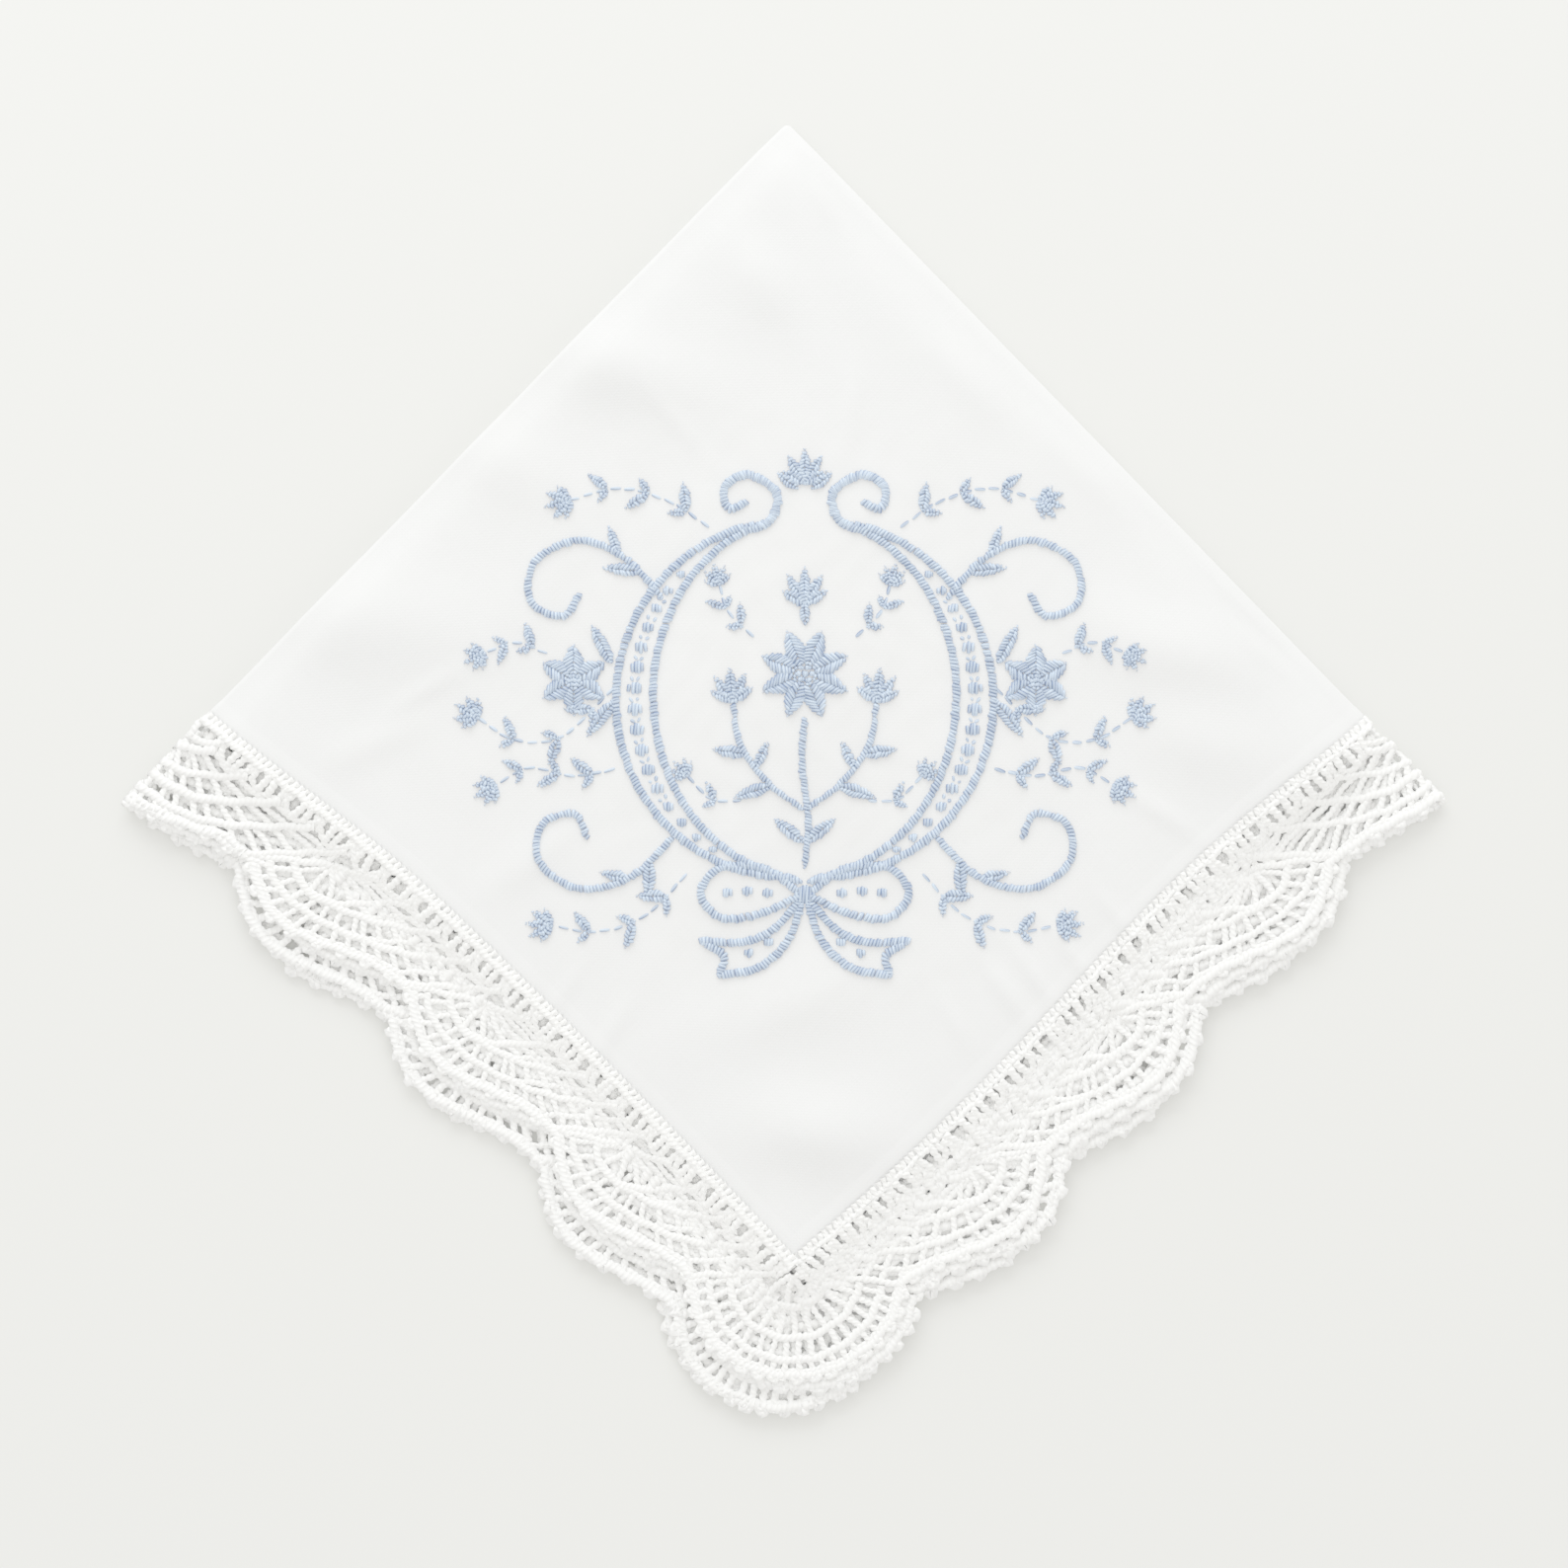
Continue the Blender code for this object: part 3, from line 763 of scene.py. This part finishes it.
def crocheted(name, strands, sides, step):
    """One mesh of yarn: each strand is a tube that swells at every stitch, laid flat and then folded."""
    points, quads, around_and_along = [], [], []
    total = 0
    rng = np.random.default_rng(7)
    angles = 2 * math.pi * (np.arange(sides) + 0.5) / sides
    for number, (line, radius) in enumerate(strands):
        middle = even(line, step)
        count = len(middle)
        along = np.gradient(middle, axis=0)
        along /= np.maximum(np.linalg.norm(along, axis=1), 1e-9)[:, None]
        beside = np.column_stack([-along[:, 1], along[:, 0]])
        length = step * np.arange(count)
        wander = WANDER * np.sin(length / WANDER_LENGTH + rng.uniform(*WAVE_START))
        middle = middle + beside * wander[:, None]
        stitch_wave = np.abs(np.sin(math.pi * length / STITCH + rng.uniform(*STITCH_START)))
        swelling = SLIM_PART + SWOLLEN_PART * stitch_wave
        wide = radius * swelling * rng.uniform(*YARN_SPREAD)
        lift = rng.uniform(-LIFT_SPREAD, LIFT_SPREAD)
        lift = lift + LIFT_SPREAD * np.sin(length / LIFT_LENGTH + rng.uniform(*WAVE_START))
        if radius >= CHAIN:
            lift = lift + CHAIN_LIFT
        ring = np.empty((count, sides, 3))
        ring[:, :, :2] = middle[:, None] + beside[:, None] * (wide[:, None] * np.cos(angles))[:, :, None]
        ring[:, :, 2] = lift[:, None] + FLATTENED * wide[:, None] * np.sin(angles)
        points.append(ring.reshape(-1, 3))
        first = total + np.arange(count - 1)[:, None] * sides + np.arange(sides)
        second = total + np.arange(count - 1)[:, None] * sides + (np.arange(sides) + 1) % sides
        quads.append(np.stack([first, first + sides, second + sides, second], axis=-1).reshape(-1, 4))
        turn = np.arange(sides) / sides
        low = np.repeat(length[:-1], sides) * MM_A_METRE
        high = np.repeat(length[1:], sides) * MM_A_METRE
        left_turn = np.tile(turn, count - 1) + number
        right_turn = left_turn + 1 / sides
        around_and_along.append(
            np.stack(
                [
                    np.column_stack([left_turn, low]),
                    np.column_stack([left_turn, high]),
                    np.column_stack([right_turn, high]),
                    np.column_stack([right_turn, low]),
                ],
                axis=1,
            ).reshape(-1, 2)
        )
        total += count * sides
    return laid_mesh(name, settled(np.vstack(points)), np.vstack(quads), np.vstack(around_and_along))


def settled(flat):
    """Folds the lace with the cloth and lets its layers sink together towards the rim."""
    place = folded(flat, LACE_LOWER)
    from_hem = np.abs(flat[:, :2]).max(axis=1) - EDGE
    near_second = np.exp(-(((place[:, 2] - SECOND_LAYER) / SECOND_LAYER_SPREAD) ** 2))
    place[:, 2] += CLINGS_UP * near_second * np.clip(from_hem / CLINGS_FROM_HEM, 0, 1)
    out = np.clip(from_hem / SETTLED_FROM_HEM, 0, 1)
    thinner = 1 - SETTLED * out**2 * (3 - 2 * out)
    place[:, 2] = LOWEST_STRANDS + (place[:, 2] - LOWEST_STRANDS) * thinner
    place[:, 2] = np.maximum(place[:, 2], PRESSED_FLAT)
    return place


def laid_mesh(name, points, quads, around_and_along):
    """A smooth object of four-sided faces, with the yarn's map: its number and turns round, mm along."""
    data = bpy.data.meshes.new(name)
    data.vertices.add(len(points))
    data.vertices.foreach_set("co", points.ravel())
    data.loops.add(quads.size)
    data.loops.foreach_set("vertex_index", quads.ravel().astype(np.int32))
    data.polygons.add(len(quads))
    data.polygons.foreach_set("loop_start", np.arange(0, quads.size, 4, dtype=np.int32))
    data.uv_layers.new(name="yarn").data.foreach_set("uv", around_and_along.ravel())
    data.update(calc_edges=True)
    data.validate()
    data.shade_smooth()
    piece = bpy.data.objects.new(name, data)
    bpy.context.scene.collection.objects.link(piece)
    return piece


FIBRE_STRETCH = (9.0, 2.0, 1.0)
FIBRE_SCALE = 2.2
FIBRE_DETAIL = 4.0
FIBRE_RELIEF = 0.5
OWN_SHADE = 0.45  # how much the strands differ from each other
# Painted shade: how much darker the yarn is made in the valleys between its plies, where shade falls.
PAINTED_SHADE_IN_VALLEYS = 1.5  # between the plies
YARN_BUMP_STRENGTH = 0.7


def plied_yarn_group():
    """The twisted plies and loose fibres of a yarn, from its map: heights, and a colour varied by strand
    with painted shade in the valleys.
    """
    group = bpy.data.node_groups.new("plied_yarn", "ShaderNodeTree")
    for name, kind in (
        ("Yarn Map", "Vector"),
        ("Plies", "Float"),
        ("Twist", "Float"),
        ("Light", "Color"),
        ("Dark", "Color"),
    ):
        group.interface.new_socket(name, in_out="INPUT", socket_type="NodeSocket" + kind)
    group.interface.new_socket("Color", in_out="OUTPUT", socket_type="NodeSocketColor")
    group.interface.new_socket("Height", in_out="OUTPUT", socket_type="NodeSocketFloat")
    given = group.nodes.new("NodeGroupInput").outputs
    result = group.nodes.new("NodeGroupOutput").inputs
    axes = group.nodes.new("ShaderNodeSeparateXYZ")
    group.links.new(given["Yarn Map"], axes.inputs["Vector"])
    round_it = reckoned(group, "MULTIPLY", axes.outputs["X"], given["Plies"])
    along_it = reckoned(group, "DIVIDE", axes.outputs["Y"], given["Twist"])
    ply = reckoned(group, "FRACT", reckoned(group, "ADD", round_it, along_it))
    crown = reckoned(group, "SINE", reckoned(group, "MULTIPLY", ply, math.pi))
    fibres = noise_over(group, given["Yarn Map"], FIBRE_STRETCH, FIBRE_SCALE, FIBRE_DETAIL)
    fibre_relief = reckoned(group, "MULTIPLY", fibres, FIBRE_RELIEF)
    group.links.new(reckoned(group, "ADD", crown, fibre_relief), result["Height"])
    strand = group.nodes.new("ShaderNodeTexWhiteNoise")
    strand.noise_dimensions = "1D"
    group.links.new(reckoned(group, "FLOOR", axes.outputs["X"]), strand.inputs["W"])
    own_shade = reckoned(group, "MULTIPLY", strand.outputs["Value"], OWN_SHADE)
    # Painted shade: the colour darkens away from each ply's crown into the valleys, broken up by the
    # fibres, on top of each strand's own random tone.
    valleys = reckoned(group, "MULTIPLY", reckoned(group, "SUBTRACT", 1.0, crown), PAINTED_SHADE_IN_VALLEYS)
    shade = reckoned(group, "ADD", own_shade, reckoned(group, "MULTIPLY", valleys, fibres))
    group.links.new(mixed_colour(group, shade, given["Light"], given["Dark"]), result["Color"])
    return group


plied_yarn = plied_yarn_group()


def yarn_material(name, light, dark, plies, twist, bump):
    """A material for yarn. Its lengths are in mm, as in the yarn map."""
    material = bpy.data.materials.new(name)
    material.use_nodes = True
    tree, shader = nodes_of(material)
    uv = tree.nodes.new("ShaderNodeUVMap")
    uv.uv_map = "yarn"
    yarn = tree.nodes.new("ShaderNodeGroup")
    yarn.node_tree = plied_yarn
    tree.links.new(uv.outputs["UV"], yarn.inputs["Yarn Map"])
    yarn.inputs["Plies"].default_value = plies
    yarn.inputs["Twist"].default_value = twist
    yarn.inputs["Light"].default_value = light
    yarn.inputs["Dark"].default_value = dark
    tree.links.new(yarn.outputs["Color"], shader.inputs["Base Color"])
    bumped(tree, shader, yarn.outputs["Height"], YARN_BUMP_STRENGTH, bump)
    return material, shader


CROCHET_ROUGHNESS = 0.85
CROCHET_SHEEN = 0.45
# Faces round a strand, and metres from one ring of points to the next.
FINE_YARN = (6, 0.00033)
PLAIN_YARN = (4, 0.00042)

# The dark colour is painted shade in the valleys between the plies, and also the dark end of each strand's
# own random tone.
crochet_cotton, shader = yarn_material(
    "crochet_cotton",
    light=(0.985, 0.985, 0.972, 1.0),
    dark=(0.950, 0.945, 0.915, 1.0),
    plies=3.0,
    twist=0.80,
    bump=0.00011,
)
shader.inputs["Roughness"].default_value = CROCHET_ROUGHNESS
shader.inputs["Sheen Weight"].default_value = CROCHET_SHEEN

layers = {"lace_top": [], "lace_second": [], "lace_third": [], "lace_lowest": []}
for line, radius in all_lace_strands():
    at_u, at_v = line.mean(axis=0)
    if at_u > 0:
        layer = "lace_top" if at_v > 0 else "lace_second"
    else:
        layer = "lace_lowest" if at_v > 0 else "lace_third"
    layers[layer].append((line, radius))
for layer, strands in layers.items():
    sides, step = FINE_YARN if layer == "lace_top" else PLAIN_YARN
    if layer != "lace_top":
        strands = [(line, radius * PRESSED_WIDER) for line, radius in strands]
    lace = crocheted(layer, strands, sides, step)
    lace.data.materials.append(crochet_cotton)
    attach(lace, "root")
    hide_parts("lace_edging")


# The embroidery
#
# A wreath with a bow, scrolls and sprays of flowers, worked through the top layer in pale blue stranded
# thread. Raised satin stitch makes the cords, leaves and petals, with small padded dots between double
# cords, and running stitch makes the stems.

THREAD = 0.00056  # width of one laid stitch
THREAD_PITCH = 0.52  # from here on, all of the embroidery is drawn in mm
CORD = 1.22  # width of a satin cord
CORD_CROWN = 0.58
CORD_END = 0.4  # its width there, as a share
CORD_SLANT = 0.16
LEAF_CROWN = 0.56
LEAF_LOW = 0.35  # its height at the tip, as a share
LEAF_FULLNESS = 0.75
LEAF_SLANT_IN = 0.25  # where its stitches start ahead of their middle, in half widths
LEAF_SLANT_OUT = 0.45
DOT_CROWN = 0.48
FLAT_CROWN = 0.16
DOT_PITCH = 2.9
ROOM_FOR_DOT = 1.25  # half the room between two cords, in mm
ROOM_FOR_SEEDS = 1.9
RUN = 3  # steps of the line under one running stitch
PETALS = ((-62, 0.72), (-32, 0.92), (0, 1.0), (32, 0.92), (62, 0.72))  # degrees aside, share of the length
PETAL_WIDTH = 0.34  # of a blossom's length
HEART_DOTS = 6
NEEDLE_STRAY = 0.07

stitches = []  # (from x, y, to x, y, crown)
needle = np.random.default_rng(23)


def drawn(*points):
    """A smooth line with one point for each stitch."""
    return flowing(points, THREAD_PITCH)


def sideways(line):
    along = np.gradient(line, axis=0)
    along /= np.maximum(np.linalg.norm(along, axis=1), 1e-9)[:, None]
    return np.column_stack([-along[:, 1], along[:, 0]]), along


def bearing_of(direction):
    return math.degrees(math.atan2(direction[1], direction[0]))


def lay(start, end, crown):
    """One stitch, from hole to hole, a little uneven."""
    stray = needle.normal(0, NEEDLE_STRAY, 4)
    stitches.append((start[0] + stray[0], start[1] + stray[1], end[0] + stray[2], end[1] + stray[3], crown))


def satin_cord(line, width=CORD, crown=CORD_CROWN, taper=1.4):
    """A raised cord: stitches side by side across the line, a little slanted, narrower at its ends."""
    beside, along = sideways(line)
    length = len(line) * THREAD_PITCH
    for index, (middle, side, ahead) in enumerate(zip(line, beside, along)):
        at = index * THREAD_PITCH
        share = min(1, CORD_END + at / taper, CORD_END + (length - at) / taper)
        half = width / 2 * share
        start = middle - side * half - ahead * CORD_SLANT
        lay(start, middle + side * half + ahead * CORD_SLANT, crown * share)


def leaf(base, degrees, length, width):
    """A satin leaf: stitches slanting from a middle line to the edge, on both sides."""
    turn = math.radians(degrees)
    ahead = np.array([math.cos(turn), math.sin(turn)])
    side = np.array([-ahead[1], ahead[0]])
    base = np.asarray(base, float)
    count = max(4, round(length / THREAD_PITCH))
    for step in range(count + 1):
        at = step / count
        half = width / 2 * math.sin(math.pi * min(1, at * 0.93 + 0.07)) ** LEAF_FULLNESS
        middle = base + ahead * length * at
        for hand in (-1, 1):
            edge = middle + side * half * hand - ahead * LEAF_SLANT_OUT * half
            lay(middle + ahead * LEAF_SLANT_IN * half, edge, LEAF_CROWN * min(1, LEAF_LOW + half))


def dot(middle, radius):
    """A padded dot: a few stitches side by side."""
    middle = np.asarray(middle, float)
    count = max(3, round(2 * radius / THREAD_PITCH))
    for step in range(count):
        aside = (step + 0.5) / count * 2 - 1
        half = radius * math.sqrt(max(0.08, 1 - aside * aside))
        at = middle + (aside * radius, 0)
        lay(at - (0, half), at + (0, half), DOT_CROWN)


def running(line):
    """A thin stem of running stitches, three steps of the line long with one step between."""
    for start in range(0, len(line) - RUN, RUN + 1):
        lay(line[start], line[start + RUN], FLAT_CROWN)


def double_band(line, half_widths):
    """Two satin cords that part and meet again, with padded dots and small stitches down the middle."""
    beside, along = sideways(line)
    for hand in (-1, 1):
        satin_cord(even(line + beside * (half_widths * hand)[:, None], THREAD_PITCH))
    since = 0.0
    for middle, half, side, ahead in zip(line, half_widths, beside, along):
        since += THREAD_PITCH
        if half < ROOM_FOR_DOT or since < DOT_PITCH:
            continue
        dot(middle, 0.36 * half)
        since = 0.0
        if half > ROOM_FOR_SEEDS:
            for hand in (-1, 1):
                near = middle + ahead * 1.2 + side * 0.3 * hand
                far = middle + ahead * 1.7 + side * 0.7 * hand
                lay(near, far, FLAT_CROWN)


def blossom(base, degrees, size):
    """A small blossom seen from the side: a fan of short petals."""
    for aside, share in PETALS:
        leaf(base, degrees + aside, size * share, size * PETAL_WIDTH)


def daisy(middle, size, petals, heart):
    """A flower seen from the front: petals round a heart of padded dots."""
    middle = np.asarray(middle, float)
    for petal in range(petals):
        degrees = 360 / petals * (petal + 0.5)
        out = np.array([math.cos(math.radians(degrees)), math.sin(math.radians(degrees))])
        leaf(middle + out * heart, degrees, size - heart, 3.7 * size / petals)
    for seed in range(HEART_DOTS):
        turn = math.tau * seed / HEART_DOTS
        dot(middle + np.array([math.cos(turn), math.sin(turn)]) * heart * 0.62, 0.36)
    dot(middle, 0.42)


def sprig(points, sizes, last):
    """A thin stem with leaves in turn on both sides, and a blossom at its end."""
    line = drawn(*points)
    running(line)
    beside, along = sideways(line)
    hand = 1
    for number, size in enumerate(sizes):
        index = round((number + 0.7) / (len(sizes) + 0.6) * (len(line) - 1))
        bearing = bearing_of(along[index])
        leaf(line[index] + beside[index] * 0.2 * hand, bearing + 48 * hand, size, size * 0.42)
        leaf(line[index] - beside[index] * 0.2 * hand, bearing - 40 * hand, size * 0.62, size * 0.30)
        hand = -hand
    blossom(line[-1], bearing_of(along[-1]), last)


def both_hands(draw):
    """Draws the right half, and the same turned over for the left half."""
    first = len(stitches)
    draw()
    for from_x, from_y, to_x, to_y, crown in stitches[first:]:
        stitches.append((-from_x, from_y, -to_x, to_y, crown))


def half_of_wreath():
    turns = [math.radians(degrees) for degrees in range(-75, 84, 9)]
    arc = [(25.5 * math.cos(turn), 2 + 27 * math.sin(turn)) for turn in turns]
    line = drawn((0.6, -25.4), *arc, (4.2, 32.6), (8.4, 35.4), (12.0, 33.6), (11.4, 30.4), (8.8, 31.2))
    at = np.linspace(0, 1, len(line))
    half_widths = 2.8 * np.sin(math.pi * np.clip(at / 0.80, 0, 1)) ** 1.3
    double_band(line, np.maximum(half_widths, 0.02))


def half_of_bow():
    loop = drawn(
        (0.8, -27.2), (6.0, -23.6), (12.6, -23.4), (15.6, -27.4),
        (12.4, -31.0), (6.4, -30.2), (0.9, -27.8),
    )
    satin_cord(loop)
    for middle in ((5.6, -27.2), (8.6, -27.0), (11.6, -27.2)):
        dot(middle, 0.75)
    satin_cord(drawn((0.8, -28.4), (4.6, -32.6), (9.4, -34.6), (15.6, -34.4)))
    satin_cord(drawn((0.4, -28.8), (2.6, -34.4), (7.0, -38.4), (12.8, -39.6)))
    satin_cord(drawn((15.6, -34.4), (12.2, -36.6), (12.8, -39.6)))
    for middle in ((5.4, -34.6), (8.4, -36.2)):
        dot(middle, 0.65)


def half_of_scrolls():
    upper = drawn(
        (21.4, 17.0), (27.0, 23.0), (34.0, 25.6), (40.4, 22.4),
        (41.0, 16.4), (36.2, 14.2), (33.8, 17.4),
    )
    lower = drawn(
        (19.6, -18.8), (26.0, -24.8), (33.6, -26.6), (39.6, -22.8),
        (39.4, -17.0), (34.6, -15.4), (32.6, -18.8),
    )
    for line in (upper, lower):
        satin_cord(line, 1.1)
        leaf(line[10], bearing_of(line[12] - line[8]) - 42, 5.4, 1.9)
        leaf(line[18], bearing_of(line[20] - line[16]) + 40, 4.2, 1.5)


def half_of_outer_sprays():
    daisy((34.6, 4.6), 5.2, 6, 1.2)
    leaf((29.0, 7.4), 62, 6.0, 1.9)
    leaf((28.6, 1.4), -52, 6.4, 2.0)
    sprig([(28.6, 3.6), (36.0, -3.6), (43.0, -4.4), (49.0, -1.0)], (4.0, 3.8, 3.4), 3.8)
    sprig([(38.6, 8.6), (43.4, 10.4), (48.0, 8.6)], (3.4, 3.0), 3.2)
    sprig([(14.4, 27.6), (20.6, 31.6), (28.0, 33.4), (35.2, 31.6)], (4.0, 3.8, 3.4), 3.8)
    sprig([(17.6, -24.4), (23.6, -30.4), (30.6, -33.0), (38.0, -32.2)], (4.2, 3.8, 3.4), 3.8)
    sprig([(28.4, -8.6), (34.4, -9.8), (41.0, -8.4), (46.4, -11.2)], (3.8, 3.4, 3.0), 3.4)


def half_of_inner_spray():
    satin_cord(drawn((0.4, -14.6), (5.4, -10.8), (9.6, -5.0), (10.8, 1.4)), 0.9)
    blossom((10.8, 1.6), 84, 4.8)
    leaf((5.2, -11.2), -18, 5.6, 1.9)
    leaf((8.8, -6.4), 8, 5.0, 1.8)
    leaf((7.4, -8.4), 118, 4.2, 1.5)
    sprig([(7.6, 11.2), (11.4, 14.6), (12.8, 19.0)], (3.2, 2.8), 3.0)
    leaf((0.4, -19.4), 38, 5.2, 1.9)
    sprig([(9.4, -13.4), (14.0, -13.2), (17.6, -9.6)], (2.8,), 2.8)
    leaf((1.2, 33.4), 38, 3.6, 1.5)


def middle_line():
    satin_cord(drawn((0, -23.4), (0.5, -16.0), (-0.4, -8.0), (0, -1.2)), 1.0)
    daisy((0, 5.6), 6.8, 8, 1.7)
    leaf((0, 13.2), 90, 3.6, 1.5)
    blossom((0, 16.2), 90, 5.2)
    dot((0, -27.5), 1.5)
    blossom((0, 34.2), 90, 5.0)


both_hands(half_of_wreath)
both_hands(half_of_bow)
wreath_stitches, stitches = stitches, []
both_hands(half_of_scrolls)
both_hands(half_of_outer_sprays)
spray_stitches, stitches = stitches, []
both_hands(half_of_inner_spray)
middle_line()
centre_stitches, stitches = stitches, []


SLACK = 0.06
STATIONS = (0, 0.08, 0.28, 0.5, 0.72, 0.92, 1.0)  # along a stitch
ARCH_FLATNESS = 2.2
ARCH_FULLNESS = 0.6
SUNK = 0.00004
SECTION = ((-0.5, -0.30), (0.0, 0.38), (0.5, -0.30))  # across a stitch, in its widths aside and up


def top_of_lawn(place):
    return (MIDDLE_HEIGHT + SECOND_RADIUS + FIRST_RADIUS - THINNER) * (1 + swell(place)) + LAWN / 2


def stitched(name, laid):
    """One mesh of stitches, each a slim half-round strip that rises from the lawn and goes back into it."""
    laid = np.array(laid) * MM
    start = laid[:, 0:2] + EMBROIDERY_MIDDLE
    end = laid[:, 2:4] + EMBROIDERY_MIDDLE
    crown = laid[:, 4]
    count = len(laid)
    slack = needle.uniform(-SLACK, SLACK, count) * MM
    length = np.maximum(np.linalg.norm(end - start, axis=1), 1e-6)
    across = (end - start) / length[:, None]
    beside = np.column_stack([-across[:, 1], across[:, 0]])
    stations = np.array(STATIONS)
    arch = (1 - np.abs(2 * stations - 1) ** ARCH_FLATNESS) ** ARCH_FULLNESS
    points = np.empty((count, len(stations), 3, 3))
    for number, (at, lifted) in enumerate(zip(stations, arch)):
        middle = start + across * (length * at)[:, None]
        height = top_of_lawn(middle) - SUNK + (crown + slack) * lifted
        for edge, (aside, above) in enumerate(SECTION):
            points[:, number, edge, :2] = middle + beside * (aside * THREAD)
            points[:, number, edge, 2] = height + above * THREAD
    block = np.arange(len(stations) - 1)[:, None] * 3 + np.arange(2)
    quad = np.stack([block, block + 3, block + 4, block + 1], axis=-1).reshape(-1, 4)
    quads = (np.arange(count)[:, None, None] * (3 * len(stations)) + quad).reshape(-1, 4)
    low, high = np.repeat(stations[:-1], 2), np.repeat(stations[1:], 2)
    edge = np.tile([0.0, 0.5], len(stations) - 1)
    corners = ((edge, low), (edge, high), (edge + 0.5, high), (edge + 0.5, low))
    one = np.stack([np.column_stack(pair) for pair in corners], axis=1)
    yarn_map = np.broadcast_to(one, (count,) + one.shape).copy()
    yarn_map[..., 0] += np.arange(count)[:, None, None]
    yarn_map[..., 1] *= (length / MM)[:, None, None]
    return laid_mesh(name, points.reshape(-1, 3), quads, yarn_map.reshape(-1, 2))


THREAD_ROUGHNESS = 0.40
THREAD_SHEEN = 0.15

# Each stitch is light along its crown and graded to the dark colour at its sides: painted shade between the
# stitches. The dark colour is also the dark end of each stitch's own random tone.
blue_thread, shader = yarn_material(
    "blue_thread",
    light=(0.55, 0.725, 0.94, 1.0),
    dark=(0.030, 0.085, 0.26, 1.0),
    plies=1.0,
    twist=6.0,
    bump=0.00012,
)
shader.inputs["Roughness"].default_value = THREAD_ROUGHNESS
shader.inputs["Sheen Weight"].default_value = THREAD_SHEEN
for name, laid in (
    ("stitched_wreath", wreath_stitches),
    ("stitched_sprays", spray_stitches),
    ("stitched_centre", centre_stitches),
):
    piece = stitched(name, laid)
    piece.data.materials.append(blue_thread)
    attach(piece, "root")
    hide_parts("cloth")


# Light and camera
#
# A bright white room: one wide soft lamp beyond the folded corner, and pale light from all round. The
# camera looks straight down, as the photograph does.

ROOM_WHITE = (1.0, 0.992, 0.955, 1.0)
ROOM_STRENGTH = 0.757
VIEW_GAMMA = 2.4
WINDOW_WIDTH = 0.75
WINDOW_HEIGHT = 0.40
WINDOW_WATTS = 3.60
WINDOW_WHITE = (0.96, 0.995, 1.0)
WINDOW_PLACE = (-0.09, 0.68, 0.38)
WINDOW_TILT = math.radians(-60)
WINDOW_TURN = math.radians(6)
LENS_MM = 85
SENSOR_MM = 36
CAMERA_CLIP = 0.01
CAMERA_PLACE = (-0.0001, -0.0019, 0.5594)

world = bpy.data.worlds.new("white_room")
world.use_nodes = True
world.node_tree.nodes["Background"].inputs["Color"].default_value = ROOM_WHITE
world.node_tree.nodes["Background"].inputs["Strength"].default_value = ROOM_STRENGTH
bpy.context.scene.world = world
bpy.context.scene.view_settings.view_transform = "Standard"
bpy.context.scene.view_settings.gamma = VIEW_GAMMA

lamp_data = bpy.data.lights.new("window", "AREA")
lamp_data.shape = "RECTANGLE"
lamp_data.size = WINDOW_WIDTH
lamp_data.size_y = WINDOW_HEIGHT
lamp_data.energy = WINDOW_WATTS
lamp_data.color = WINDOW_WHITE
lamp = bpy.data.objects.new("window", lamp_data)
bpy.context.scene.collection.objects.link(lamp)
lamp.location = WINDOW_PLACE
lamp.rotation_euler = (WINDOW_TILT, 0, WINDOW_TURN)

camera_data = bpy.data.cameras.new("camera")
camera_data.lens = LENS_MM
camera_data.sensor_width = SENSOR_MM
camera_data.clip_start = CAMERA_CLIP
camera = bpy.data.objects.new("camera", camera_data)
bpy.context.scene.collection.objects.link(camera)
camera.location = CAMERA_PLACE
bpy.context.scene.camera = camera
